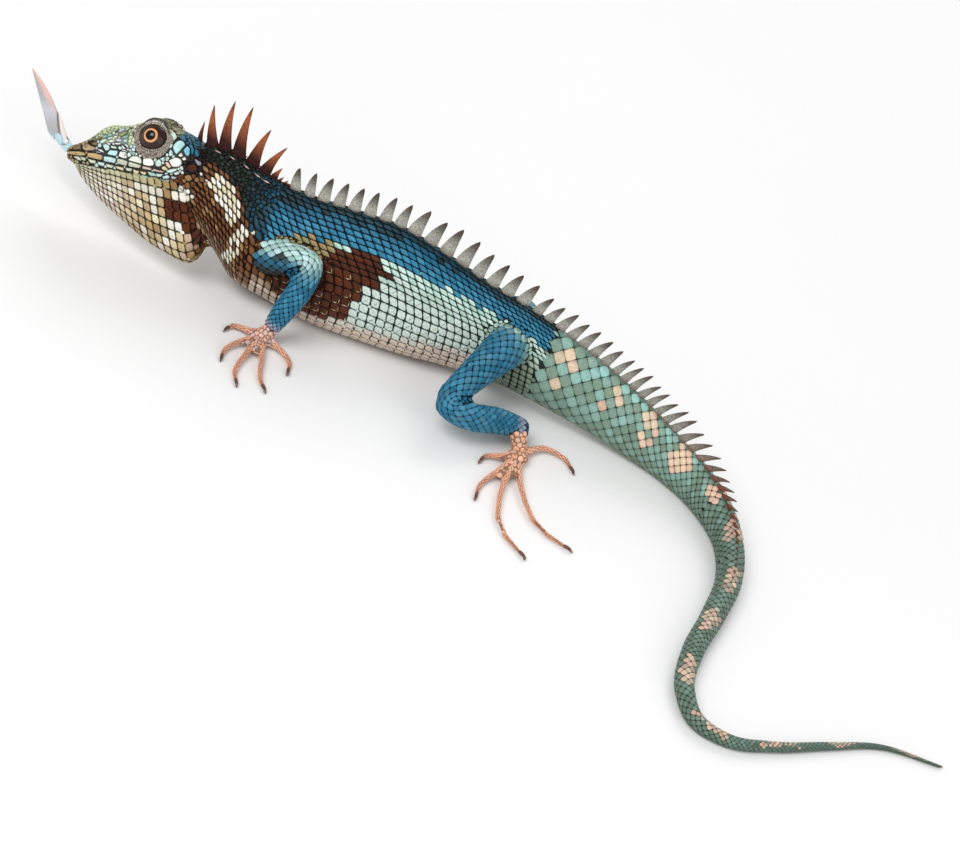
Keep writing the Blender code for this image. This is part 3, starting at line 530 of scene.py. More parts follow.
def scale_faces(sides, local, ridge):
    """Faces of one scale: two rims, then a top that runs up to both ends of the keel."""
    faces = []
    for ring in (0, sides):
        for k in range(sides):
            after = (k + 1) % sides
            faces.append((ring + k, ring + after, ring + sides + after, ring + sides + k))
    rear_end = [1 if float(np.dot(spot, ridge)) >= 0 else 0 for spot in local]
    for k in range(sides):
        after = (k + 1) % sides
        a, b = 2 * sides + k, 2 * sides + after
        first, second = 3 * sides + rear_end[k], 3 * sides + rear_end[after]
        faces.append((a, b, second) if first == second else (a, b, second, first))
    return faces


class Coat:
    """Many solid scales joined in one piece, with colours and a patch of the bake map each."""

    def __init__(self, name, slot):
        self.name, self.slot = name, slot
        self.points, self.faces, self.colours, self.patches = [], [], [], []
        self.roots, self.root_tints, self.total = [], [], 0

    def add(self, outline, normals, local, tints, roots, height, lift=0.0, keel=0.0,
            ridge=(0.5, 0.0)):
        """Scales of equal count of corners. Arrays run over scales, then corners. Local
        holds the corners of a scale of half size 1, rearward first, and ridge the rear end
        of its keel."""
        many, sides = outline.shape[:2]
        local = np.broadcast_to(local, (many, sides, 2))
        height, lift, keel = (np.broadcast_to(np.asarray(v, float), (many,))[:, None, None]
                              for v in (height, lift, keel))
        centre = outline.mean(axis=1, keepdims=True)
        up = unit(normals.mean(axis=1, keepdims=True))
        away = outline - centre
        rear = (local[..., :1] + 1) / 2
        base = outline - normals * SUNK
        shoulder = centre + away * SHOULDER + normals * (height * 0.5 + lift * rear)
        top = centre + away * CROWN + normals * (height + lift * rear)
        ends = []
        for sign in (-1, 1):
            spot = np.array(ridge) * sign
            weight = np.exp(-((local - spot)**2).sum(axis=2) * 3.0)
            weight /= weight.sum(axis=1, keepdims=True)
            place = centre + (away * weight[..., None]).sum(axis=1, keepdims=True)
            tall = height + keel + lift * (spot[0] + 1) / 2
            ends.append(place + up * tall)
        points = np.concatenate([base, shoulder, top] + ends, axis=1)
        points[..., 2] = np.maximum(points[..., 2], SCALE_FLOOR)
        body, edge, crest = (np.asarray(tints[key])[:, None] for key in ("body", "edge", "keel"))
        # Painted light and shade on each scale: one side of a keel is 10% lighter and the other
        # 10% darker, and the covered front is 10% darker and the rear end 10% lighter.
        shade = 1.0 + 0.10 * np.sign(local[..., 1:]) * (keel > 0) + 0.10 * local[..., :1]
        rims = [np.broadcast_to(colour, base.shape)
                for colour in (edge * 0.5, edge + (body - edge) * 0.3)]
        colours = np.concatenate(rims + [body * shade, crest, crest], axis=1)
        ridges = [np.broadcast_to(np.array(ridge) * sign, (many, 1, 2)) for sign in (-1, 1)]
        patch = np.concatenate([local, local * SHOULDER, local * CROWN] + ridges, axis=1)
        patches = np.asarray(roots)[:, None, :] + patch * PATCH / 2
        self.gather(points, colours, patches, scale_faces(sides, local[0], ridge))
        self.roots += [Vector(point) for point in centre[:, 0]]
        self.root_tints += list(tints["body"])

    def gather(self, points, colours, patches, faces):
        many, count = points.shape[:2]
        for number in range(many):
            first = self.total + number * count
            self.faces += [tuple(first + corner for corner in face) for face in faces]
        self.total += many * count
        self.points.append(points.reshape(-1, 3))
        self.colours.append(np.broadcast_to(colours, points.shape).reshape(-1, 3))
        self.patches.append(patches.reshape(-1, 2))

    def build(self, material):
        mesh = bpy.data.meshes.new(self.name)
        points = np.concatenate(self.points) * MM
        mesh.from_pydata(points.tolist(), [], self.faces)
        colours = np.clip(np.concatenate(self.colours), 0.0, 1.0)
        layer = mesh.color_attributes.new("coat", "FLOAT_COLOR", "POINT")
        layer.data.foreach_set("color", np.hstack([colours, np.ones((len(colours), 1))]).ravel())
        corners = np.zeros(len(mesh.loops), int)
        mesh.loops.foreach_get("vertex_index", corners)
        bake = mesh.uv_layers.new(name="OFBake")
        bake.data.foreach_set("uv", np.concatenate(self.patches)[corners].ravel())
        mesh.shade_smooth()
        mesh.validate()
        bm = bmesh.new()
        bm.from_mesh(mesh)
        bmesh.ops.recalc_face_normals(bm, faces=bm.faces)
        bm.to_mesh(mesh)
        bm.free()
        obj = link(bpy.data.objects.new(self.name, mesh))
        mesh.materials.append(material)
        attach(obj, "root")
        return obj


def outline_shape(sides, power):
    """Corners of a scale between a rhomb, for a power near 1, and a square, for a high one."""
    angles = 2 * np.pi * np.arange(sides) / sides
    x, y = np.cos(angles), np.sin(angles)
    return np.stack([np.sign(x) * np.abs(x)**(2 / power), np.sign(y) * np.abs(y)**(2 / power)],
                    axis=1)


def lay_cells(coat, wrap, cells, shape, tints, unwrap, gap, height, lift, keel, ridge):
    """Scales over places on a wrap: each cell is centre, half axes along and across. Tells
    which cells lie on open skin and were laid, with the centres and radii of all."""
    cells = np.asarray(cells, float)
    centre, first, second = cells[:, 0:2], cells[:, 2:4], cells[:, 4:6]
    girth = wrap.girth_at(centre[:, 0])
    sizes = [np.maximum(np.hypot(axis[:, 0], axis[:, 1] * girth), 1e-6)
             for axis in (first, second)]
    shrink = [np.maximum(1 - gap / 2 / size, 0.3)[:, None] for size in sizes]
    places = (centre[:, None] + shape[None, :, :1] * (first * shrink[0])[:, None]
              + shape[None, :, 1:] * (second * shrink[1])[:, None])
    outline, normals, there = wrap.at(places[..., 0], places[..., 1])
    kept = there.mean(axis=1) > 0.85
    if wrap.tree is not None:
        middles, _, _ = wrap.at(centre[:, 0], centre[:, 1])
        for n in np.nonzero(kept)[0]:
            middle = Vector(middles[n])
            hit, facing, _, _ = wrap.tree.find_nearest(middle)
            kept[n] = (middle - hit).dot(facing) > -BURIED
    if kept.any():
        own = {key: np.asarray(value)[kept] for key, value in tints.items()}
        levels = [np.broadcast_to(level, kept.shape)[kept] for level in (height, lift, keel)]
        coat.add(outline[kept], normals[kept], shape, own, unwrap(centre[kept]), *levels, ridge)
    return kept, outline.mean(axis=1), np.minimum(*sizes)


ROOT_CELL = 1.2  # width of the grid cells in which roots are looked up


class Roots:
    """Every root laid so far with its radius, to fill the rest of the skin between them."""

    def __init__(self):
        self.grid = {}
        self.points, self.radii = [], []

    def key(self, point):
        return tuple(int(math.floor(value / ROOT_CELL)) for value in point)

    def free(self, point, radius):
        i, j, k = self.key(point)
        for di in (-1, 0, 1):
            for dj in (-1, 0, 1):
                for dk in (-1, 0, 1):
                    for n in self.grid.get((i + di, j + dj, k + dk), ()):
                        apart = (radius + self.radii[n]) * FILL_CROWDING
                        other = self.points[n]
                        if ((point[0] - other[0])**2 + (point[1] - other[1])**2
                                + (point[2] - other[2])**2) < apart * apart:
                            return False
        return True

    def put(self, point, radius):
        self.grid.setdefault(self.key(point), []).append(len(self.points))
        self.points.append(tuple(point))
        self.radii.append(radius)

    def put_laid(self, laid, share=1.0):
        """Takes in what lay_cells gives, with a share of the radii."""
        kept, centres, radii = laid
        for centre, radius in zip(centres[kept], radii[kept]):
            self.put(centre, radius * share)


FILL_TRIES = 240000
FILL_LATE = 0.66  # share of its radius that a scale of the second half of the tries has
FILL_GAP, FILL_HEIGHT, FILL_LIFT = 0.07, 0.12, 0.03
FILL_NEAR, FILL_POWER = 15, 16.0  # neighbours that bound a scale, and how sharp its corners are
FILL_CROWDING = 0.86  # share of two radii that roots keep apart


def lay_mosaic(coat, tree, everything, mine, normals, rear, tints, roots, spread):
    """Scales grown round their roots until they meet their neighbours."""
    points, radii = np.array(everything.points), np.array(everything.radii)
    index = KDTree(len(points))
    for i, point in enumerate(points):
        index.insert(Vector(point), i)
    index.balance()
    near = np.array([[n for _, n, _ in index.find_n(Vector(points[i]), FILL_NEAR)][1:]
                     for i in mine])
    mine = np.asarray(mine)
    centre, up = points[mine], unit(normals)
    rear = unit(rear - up * (rear * up).sum(axis=1, keepdims=True))
    side = np.cross(up, rear)
    away = points[near] - centre[:, None]
    apart = np.linalg.norm(away, axis=2)
    own, other = radii[mine][:, None], radii[near]
    edge = np.maximum(apart * own / (own + other) - FILL_GAP / 2, 0.05)
    flat = np.stack([(away * across[:, None]).sum(axis=2) for across in (rear, side)], axis=2)
    flat = flat / np.maximum(np.linalg.norm(flat, axis=2, keepdims=True), 1e-6)
    angles = 2 * np.pi * np.arange(FINE) / FINE
    beams = np.stack([np.cos(angles), np.sin(angles)], axis=1)
    facing = np.maximum(np.einsum("mnk,sk->msn", flat, beams), 0.0)
    total = ((facing / edge[:, None])**FILL_POWER).sum(axis=2)
    reach = (total + (1 / (own * spread))**FILL_POWER)**(-1 / FILL_POWER)
    outline = (centre[:, None] + rear[:, None] * (beams[:, 0] * reach)[..., None]
               + side[:, None] * (beams[:, 1] * reach)[..., None])
    facings = np.empty_like(outline)
    for spot in np.ndindex(outline.shape[:2]):
        hit, facing_there, _, _ = tree.find_nearest(Vector(outline[spot]))
        outline[spot] = hit
        facings[spot] = facing_there
    facings = unit(facings + up[:, None] * 1.5)
    coat.add(outline, facings, beams, tints, roots, FILL_HEIGHT, FILL_LIFT)


TAIL_START = 66.0  # distance along the body at which the tail's scales begin
NECK_TINTS_END, SHOULDER_END = 15.5, 22.0  # where the neck's and the shoulder's colours end
# By distance along the body: how far round the blue of the back reaches, where the belly
# starts, how wide the mint next to the blue is, and how far round the dark ridge and the
# dark nape reach.
BLUE_END = ((14, 20, 24, 30, 38, 45, 52, 60, 66),
            (0.42, 0.285, 0.225, 0.205, 0.21, 0.205, 0.20, 0.21, 0.25))
BELLY_START = ((20, 30, 38, 48, 60), (0.62, 0.65, 0.63, 0.55, 0.52))
MINT_WIDTH = ((20, 28, 60), (0.03, 0.07, 0.10))
DARK_END = ((12, 16, 22, 40, 66), (0.3, 0.13, 0.075, 0.07, 0.055))
NAPE_END = ((0, 4, 7, 10, 13, 16), (0.16, 0.17, 0.2, 0.27, 0.36, 0.40))
MINT_SOFT, BELLY_SOFT, DARK_SOFT = 0.12, 0.07, 0.08  # widths over which these colours blend
# Patches of the flank and neck as distance along the body and share round it.
TAN_STREAK = ((17.5, 0.29), (19.5, 0.28), (22.0, 0.24), (25.0, 0.23), (27.6, 0.26), (26.5, 0.31),
              (23.5, 0.335), (21.0, 0.37), (17.5, 0.39))
SIDE_PATCH = ((27.0, 0.28), (29.5, 0.225), (32.0, 0.205), (33.4, 0.25), (36.0, 0.29), (35.0, 0.34),
              (33.2, 0.40), (32.6, 0.48), (32.0, 0.65), (29.5, 0.70), (25.0, 0.70), (20.5, 0.64),
              (17.0, 0.54), (17.0, 0.44), (22.0, 0.38), (25.0, 0.33))
NECK_WHITE = [((3.2, 0.33), (4.2, 0.27), (5.2, 0.25), (6.5, 0.25), (8.5, 0.265), (9.6, 0.29),
               (10.1, 0.35), (9.2, 0.46), (7.6, 0.51), (7.0, 0.44), (6.0, 0.40), (4.0, 0.39)),
              ((9.0, 0.56), (10.0, 0.46), (12.0, 0.38), (13.6, 0.37), (13.2, 0.42), (11.1, 0.51)),
              ((8.6, 0.75), (10.2, 0.60), (11.6, 0.52), (12.5, 0.55), (10.6, 0.71))]


def body_tints(along, share, draw):
    """Body, edge and keel colour of a scale on neck, trunk or tail. Share is 0 at the
    ridge and 1 in the middle of the belly, alike on both sides."""
    if along < TAIL_START:
        body, keel = trunk_tint(along, share, draw)
    else:
        body, keel = tail_tint(along, share, draw)
    body = body * draw.uniform(0.88, 1.1)
    return body, TINTS["ink"] + body * 0.12, keel


def bump(value, middle, width):
    return math.exp(-((value - middle) / width)**2)


def edge_between(value, edge, soft):
    """0 well under an edge and 1 well over it."""
    return 1 / (1 + math.exp(-(value - edge) / soft))


def trunk_tint(along, share, draw):
    share += draw.uniform(-0.015, 0.015)
    blue_end = float(np.interp(along, *BLUE_END))
    mint_end = blue_end + float(np.interp(along, *MINT_WIDTH))
    dark_end = float(np.interp(along, *DARK_END))
    under = float(np.interp(along, *BELLY_START))
    body = mixed("flank", "belly", (share - under) / BELLY_SOFT)
    # Past 53 the flank turns to the tail's green-grey. The darker grey_teal comes in at random as
    # the tail's own tone, and more towards the belly as painted shade of the lower side.
    body = mixed(body, mixed("tail", "grey_teal", draw.random() * share), (along - 53.0) / 8.0)
    if share < mint_end + MINT_SOFT:
        mint = mixed("mint", "pale_mint", draw.random())
        body = mixed(mint, body, (share - mint_end) / MINT_SOFT)
    if share < blue_end:
        body = mixed("blue", "bright_blue", draw.uniform(0.0, 0.8))
        body = mixed(body, "deep_blue", 1 - (share - dark_end) / DARK_SOFT)
    if share < dark_end:
        body = mixed("night", "black_green", draw.uniform(0.0, 0.8))
    keel = mixed(body, "tan", 0.25 if share > blue_end + 0.08 else 0.0) * 1.06
    if inside((along, share), TAN_STREAK):
        body = mixed("tan", "olive", draw.random())
        keel = body
    if along < SHOULDER_END and share > 0.4:
        brown = mixed("rust", "pouch_rim", draw.random())
        pale = mixed("belly", "pouch_rim", draw.random() * 0.7)
        body = mixed(brown, pale, (share - 0.6) / 0.08)
        keel = body
    if inside((along + draw.uniform(-0.3, 0.3), share), SIDE_PATCH):
        body = mixed("maroon", "rust", draw.uniform(0.0, 0.7))
        keel = body
    if along < NECK_TINTS_END:
        body, keel = neck_tint(along, share, draw)
    return body, keel


def inside(point, corners):
    """Whether a place lies in a polygon."""
    x, y = point
    found = False
    for (ax, ay), (bx, by) in zip(corners, corners[1:] + corners[:1]):
        if (ay > y) != (by > y) and x < (bx - ax) * (y - ay) / (by - ay) + ax:
            found = not found
    return found


def neck_tint(along, share, draw):
    if any(inside((along, share), patch) for patch in NECK_WHITE):
        body = mixed("white", "cream", draw.random())
        return body, body
    if share < float(np.interp(along, *NAPE_END)):
        body = mixed("black_green", "moss", draw.random()**3)
        body = mixed(body, "deep_blue", (along - 9.5) / 5.0 * draw.random())
        return body, mixed(body, "moss", 0.5 * draw.random())
    body = mixed("rust", "maroon", draw.uniform(0.0, 0.9))
    if draw.random() < 0.15:
        body = mixed(body, "pouch", 0.5)
    low = edge_between(share, 0.76 + draw.uniform(-0.06, 0.06), 0.03)
    body = mixed(body, mixed("pouch_rim", "belly", draw.random()), low)
    return body, mixed(body, "pouch", 0.25)


# Pale spots of the tail: distance, share round, and how far they reach along and round.
BLOTCHES = [(69.9, 0.23, 1.9, 0.09), (69.2, 0.44, 1.5, 0.06), (79.6, 0.17, 1.9, 0.09),
            (78.6, 0.42, 1.4, 0.06), (87.8, 0.17, 2.1, 0.14), (88.0, 0.41, 1.5, 0.07),
            (95.3, 0.22, 2.5, 0.19), (95.0, 0.46, 1.5, 0.06), (103.8, 0.16, 2.2, 0.14)]
THIN_TAIL = 108.0  # distance from which the tail is thin and banded
TAIL_EDGE = 0.22  # share round the thin tail that is pale and banded
TAIL_FADE = (92.0, 114.0)  # distances between which the tail's pale green fades


def tail_tint(along, share, draw):
    far = min(max((along - TAIL_FADE[0]) / (TAIL_FADE[1] - TAIL_FADE[0]), 0.0), 1.0)
    # Greyer towards the end and at random, which is the tail's own tone, and greyer with fewer
    # aqua scales towards the belly, which is painted shade of the lower side.
    body = mixed("tail", "grey_teal", far * 0.7 + draw.uniform(0.0, 0.35) + share * 0.35)
    body = mixed(body, "aqua", draw.random()**1.5 * (1 - far * 0.75) * (1.1 - share))
    for middle, level, length, width in BLOTCHES:
        reach = ((along - middle) / length)**2 + ((share - level) / width)**2
        if reach < 1 + draw.uniform(-0.35, 0.35):
            pale = mixed("salmon", "pink", far * 0.9 + draw.uniform(-0.3, 0.5))
            body = mixed(body, mixed(pale, "cream", draw.random() * 0.5), draw.uniform(0.7, 1.0))
    if along > THIN_TAIL and share < TAIL_EDGE + 0.10 * math.sin(along * 0.9):
        pale = mixed(mixed("salmon", "pink", draw.random() * 1.3), "cream", draw.random() * 0.4)
        if bump(math.sin(along * 0.52), 1.0, 1.1) > draw.uniform(0.1, 0.9):
            body = mixed(body, pale, draw.uniform(0.3, 0.9))
    if share < 0.07 and along < THIN_TAIL:
        body = mixed(body, "moss", 0.6)
    if share > 0.8:
        body = mixed(body, "olive", 0.35)
    return body, body * 1.12


def limb_tints(part, along, top, draw):
    """Colour of a limb scale: part is arm or leg, along is 0 at the root and 1 at the
    wrist, and top tells how much the scale faces up."""
    body = mixed(mixed("deep_blue", "blue", 0.5), "bright_blue", draw.uniform(0.0, 0.55))
    if part == "arm":
        upper = edge_between(top, 0.38, 0.07) * (1 - edge_between(along, 0.52, 0.02))
        elbow = bump(along, 0.53, 0.07) * edge_between(top, 0.25, 0.1)
        body = mixed(body, mixed("mint", "head_blue", draw.random()), max(upper, elbow) * 0.95)
        pale = mixed("white", "cream", draw.random())
        body = mixed(body, pale, 1 - edge_between(along, 0.07, 0.01))
        blotch = bump(along, 0.40, 0.05) * bump(top, 0.35, 0.25)
        body = mixed(body, "black_green", max(blotch * 1.8 - 0.45, 0.5 - 1.6 * top - along))
    else:
        body = mixed(body, "mint", 1 - edge_between(along, 0.06, 0.015) + draw.uniform(-0.1, 0.1))
    body = mixed(body, "wrist", (along - 0.93) / 0.06)
    body = body * draw.uniform(0.88, 1.1)
    return body, TINTS["ink"] + body * 0.10, body * 1.1


def tint_rows(rows):
    """Rows of body, edge and keel colours as one array for each."""
    bodies, edges, keels = zip(*rows)
    return {"body": np.array(bodies), "edge": np.array(edges), "keel": np.array(keels)}


# Heights of the rows of scales from the ridge to the middle of the belly, and how far each
# row is set back from the one above it for each millimetre round, then the length of the
# scales by distance along the body.
BACK_ROWS = 11
ROW_HEIGHTS = ([0.8, 0.85, 0.9] + [0.95] * 8 + [1.5] * 2 + [1.6] * 4 + [1.45] * 2 + [1.3] * 2
               + [1.15] * 4)
ROW_LEANS = [0.85] * 3 + [0.8] * 8 + [0.45] * 2 + [0.15] * 4 + [0.05] * 8
COLUMN_PITCH = ((3.0, 1.3), (20.0, 1.35), (32.0, 1.55), (48.0, 1.6), (60.0, 1.3), (66.0, 1.1))
NECK_ROWS, NECK_PITCH, NECK_START, NECK_END = 21, 0.98, 1.6, 13.4
# How far round, by distance along the body, the nape's irregular scales reach.
NAPE_EDGE = ((0.0, 4.0, 7.0, 10.0, 12.5, 14.5, 16.0), (0.16, 0.17, 0.2, 0.27, 0.32, 0.2, 0.0))


def trunk_columns():
    """Middles and widths of the columns of scales along the trunk."""
    columns, along = [], 3.0
    while along < TAIL_START + 8:
        pitch = float(np.interp(along, *zip(*COLUMN_PITCH)))
        columns.append((along + pitch / 2, pitch))
        along += pitch
    return columns


def neck_cells(draw):
    """Finer scales on the sides of the neck."""
    cells, rows = [], []
    for row in range(NECK_ROWS):
        share = (row + 0.5) / NECK_ROWS
        for along in np.arange(NECK_START + NECK_PITCH * 0.5 * (row % 2), NECK_END, NECK_PITCH):
            if share > np.interp(along, *NAPE_EDGE):
                for side in (1, -1):
                    cells.append((along, share / 2 * side, NECK_PITCH / 2, 0.0, 0.18,
                                  0.25 / NECK_ROWS * side))
                    rows.append(body_tints(along, share, draw))
    return cells, rows


def flank_strokes(cells, draw):
    """Thin keels on the scales of the flank and pale rims on those of the dark patch."""
    strokes, tints = [], []
    for place, share, half, _, lean, tall in cells:
        level = abs(share) * 2
        rim = inside((place, level), SIDE_PATCH)
        if rim and level > 0.36 and draw.random() < 0.45:
            long = draw.uniform(0.5, 0.8)
            strokes.append((place + lean * 0.8, share + tall * 0.78, half * long, 0.0, 0.0,
                            tall * 0.09))
            strokes.append((place + half * 0.8, share + tall * 0.2, half * 0.09, 0.0,
                            lean * 0.5, tall * long))
            tints += [mixed("cream", "pouch", draw.random())] * 2
        elif not rim and 33.0 < place < 62.0 and 0.31 < level < 0.62 and draw.random() < 0.7:
            turn = draw.choice((1, 1, -1))
            strokes.append((place + half * 0.1, share, half * 0.45, -tall * 0.6 * turn,
                            half * 0.05, tall * 0.05))
            tints.append(mixed("brow", "tan", draw.random()))
    rows = [(tint, tint * 0.7, tint) for tint in tints]
    return np.array(strokes), tint_rows(rows)


def trunk_cells(draw):
    """Leaning rows on the back and square ones on the flank and belly."""
    levels = np.concatenate([[0.0], np.cumsum(ROW_HEIGHTS)])
    shifts = np.concatenate([[0.0], np.cumsum(np.multiply(ROW_HEIGHTS, ROW_LEANS))])
    levels = levels / levels[-1]
    cells, rows = [], []
    for row in range(len(ROW_HEIGHTS)):
        top, bottom = levels[row], levels[row + 1]
        for along, pitch in trunk_columns():
            place = along + (shifts[row] + shifts[row + 1]) / 2 - shifts[BACK_ROWS]
            share = (top + bottom) / 2
            if not NECK_END + 0.2 < place < TAIL_START + 0.3:
                continue
            if share < np.interp(place, *NAPE_EDGE):
                continue
            place += draw.uniform(-0.06, 0.06)
            lean = (shifts[row + 1] - shifts[row]) / 2 * min(max((place - 11.0) / 5.0, 0.1), 1.0)
            for side in (1, -1):
                cells.append((place, share / 2 * side, pitch / 2, 0.0, lean,
                              (bottom - top) / 4 * side))
                rows.append(body_tints(place, share, draw))
    return cells, rows


# Scales in a ring of the tail, by the least girth, and their least half length.
TAIL_COUNTS, TAIL_HALF = ((18, 13), (14, 11), (10, 9), (0, 7)), 0.42
TAIL_BASE_END = 125.0  # distance at which the tail's scales change from base to end
TAIL_FINE = (175.0, 90.0)  # where the tail's scales would be flat, and over what length
BODY_LENGTH = 214.0  # length of the body on the bake map


def tail_cells(wrap, draw):
    """Rhombs in rings, each ring set half a scale on from the last."""
    cells, rows = [], []
    along, ring = TAIL_START + 1.1, 0
    while along < wrap.places[-1] - 0.4:
        girth = float(wrap.girth_at(along))
        count = next(count for least, count in TAIL_COUNTS if girth > least)
        half = max(girth / count / 2, TAIL_HALF)
        for k in range(count):
            share = (k + 0.5 * (ring % 2)) / count
            cells.append((along, share, half * 0.99, 0.0, 0.0, 0.5 / count))
            rows.append(body_tints(along, 2 * min(share, 1 - share), draw))
        along += half
        ring += 1
    return cells, rows


def body_unwrap(cells):
    return np.stack([cells[:, 0] / BODY_LENGTH, np.mod(cells[:, 1], 1.0)], axis=1)


def lay_body(track, tree, roots, coats, draw):
    """The regular scales of neck, trunk and tail."""
    places = np.arange(0.0, track.length, 0.5)
    rings = np.array([evened(body_ring(track, s, 144), 96) for s in places])
    wrap = Wrap(places, rings, tree)
    cells, rows = trunk_cells(draw)
    strokes, stroke_tints = flank_strokes(cells, draw)
    cells, tints = np.array(cells), tint_rows(rows)
    square = outline_shape(FINE, 5.0)
    share = np.minimum(cells[:, 1] % 1.0, 1 - cells[:, 1] % 1.0) * 2
    back = np.clip((0.36 - share) / 0.1, 0, 1)
    laid = [lay_cells(coats["back_scales"], wrap, cells, square, tints, body_unwrap, gap=0.1,
                      height=0.16 + 0.03 * back, lift=0.08 + 0.09 * back,
                      keel=0.04 * (share > 0.3), ridge=(0.35, 0.35))]
    lay_cells(coats["back_scales"], wrap, strokes, outline_shape(4, 2.0), stroke_tints,
              body_unwrap, gap=0.0, height=0.235, lift=0.03, keel=0.0, ridge=(0.3, 0.0))
    cells, rows = neck_cells(draw)
    laid.append(lay_cells(coats["nape_scales"], wrap, cells, outline_shape(FINE, 3.0),
                          tint_rows(rows), body_unwrap, gap=0.1, height=0.15, lift=0.08,
                          keel=0.0, ridge=(0.35, 0.0)))
    cells, rows = tail_cells(wrap, draw)
    cells, tints = np.array(cells), tint_rows(rows)
    base = cells[:, 0] < TAIL_BASE_END
    for name, chosen in (("tail_base_scales", base), ("tail_end_scales", ~base)):
        own = {key: value[chosen] for key, value in tints.items()}
        size = np.clip((TAIL_FINE[0] - cells[chosen, 0]) / TAIL_FINE[1], 0.45, 1.0)
        laid.append(lay_cells(coats[name], wrap, cells[chosen], outline_shape(FINE, 1.25), own,
                              body_unwrap, gap=0.1, height=0.17 * size, lift=0.1 * size,
                              keel=0.09 * size, ridge=(0.62, 0.0)))
    for found in laid:
        roots.put_laid(found, 1.05)
    return wrap


def mirrored(point, mirror):
    """A point reflected across a line in plan, drawn in and lowered."""
    origin, angle, share, lower = mirror
    along = Vector((math.cos(angle), math.sin(angle)))
    away = Vector((-along.y, along.x))
    offset = Vector(point[:2]) - origin
    plan = origin + along * offset.dot(along) - away * offset.dot(away) * share
    height = [point[2] * lower] if len(point) > 2 else []
    return (plan.x, plan.y, *height, *point[3:])


def turned_toes(toes, palm, new_palm, angle):
    """Toes in plan, turned with their palm and moved to its new place."""
    turn = Matrix.Rotation(angle, 2)
    return [tuple(tuple(turn @ (Vector(point) - Vector(palm[:2])) + Vector(new_palm[:2]))
                  for point in toe) for toe in toes]


def limb_plans():
    """Part, centre rows, palm and toes of the four limbs, near ones first."""
    far_toes = [tuple(mirrored(point, FLAT_MIRROR) for point in toe) for toe in FOOT_TOES]
    far_toes = turned_toes(far_toes, mirrored(FOOT_PALM, FLAT_MIRROR), FAR_FOOT_PALM,
                           FAR_FOOT_TURN)
    far_arm = [mirrored(row, ARM_MIRROR) for row in ARM]
    far_fingers = [tuple(mirrored(point, ARM_MIRROR) for point in toe) for toe in HAND_TOES]
    return [("arm", ARM, HAND_PALM, HAND_TOES), ("leg", LEG, FOOT_PALM, FOOT_TOES),
            ("arm", far_arm, mirrored(HAND_PALM, ARM_MIRROR), far_fingers),
            ("leg", FAR_LEG, FAR_FOOT_PALM, far_toes)]


def rhomb_cells(wrap, start, end, stretch):
    """Rhombs in rings round a limb, each ring set half a scale on from the last."""
    cells, along, ring = [], start, 0
    while along < end:
        girth = float(wrap.girth_at(along))
        count = 13 if girth > 15 else 11
        half = girth / count / 2 * stretch
        cells += [(along, (k + 0.5 * (ring % 2)) / count, half * 0.99, 0.0, 0.0, 0.5 / count)
                  for k in range(count)]
        along += half
        ring += 1
    return cells


def lay_limb(number, plan, tree, roots, coat, draw):
    """The scales of a limb from its root to the wrist."""
    part, rows, _, _ = plan
    track = Track(rows)
    bend = Vector(rows[3][:3])
    normal = (bend - Vector(rows[0][:3])).cross(Vector(rows[-1][:3]) - bend).normalized()
    places = np.arange(1.0, track.length, 0.4)
    rings = np.array([tube_ring(track, s, 48, LIMB_CALM, normal) for s in places])
    wrap = Wrap(places, rings, tree, slack=0.6)
    cells = np.array(rhomb_cells(wrap, 1.5, track.length - 0.3, 1.2))
    _, facing, _ = wrap.at(cells[:, 0], cells[:, 1])
    tints = tint_rows([limb_tints(part, cell[0] / track.length, normal_there[2], draw)
                       for cell, normal_there in zip(cells, facing)])

    def unwrap(own):
        return np.stack([(number + np.mod(own[:, 1], 1.0)) / 4, own[:, 0] / track.length], axis=1)

    roots.put_laid(lay_cells(coat, wrap, cells, outline_shape(FINE, 1.35), tints, unwrap,
                             gap=0.12, height=0.17, lift=0.1, keel=0.03, ridge=(0.6, 0.0)))


def toe_track(palm, toe):
    """A toe's curve from the palm, where it ends and where its claw's tip is."""
    knuckle, joint, tip = toe
    joint, tip = Vector((*joint, TOE_RADIUS * 0.85)), Vector((*tip, 0.2))
    end = tip + (joint - tip).normalized() * CLAW_LENGTH * 0.85
    end.z = TOE_RADIUS * 0.62
    return Track([(*palm, TOE_RADIUS * 1.3), (*knuckle, TOE_RADIUS + KNUCKLE_LIFT, TOE_RADIUS),
                  (*joint, TOE_RADIUS * 0.92), (*end, TOE_RADIUS * 0.82)]), end, tip


TOE_COUNT, TOE_PITCH = 6, 1.3  # scales round a toe, and the length of one with its gap


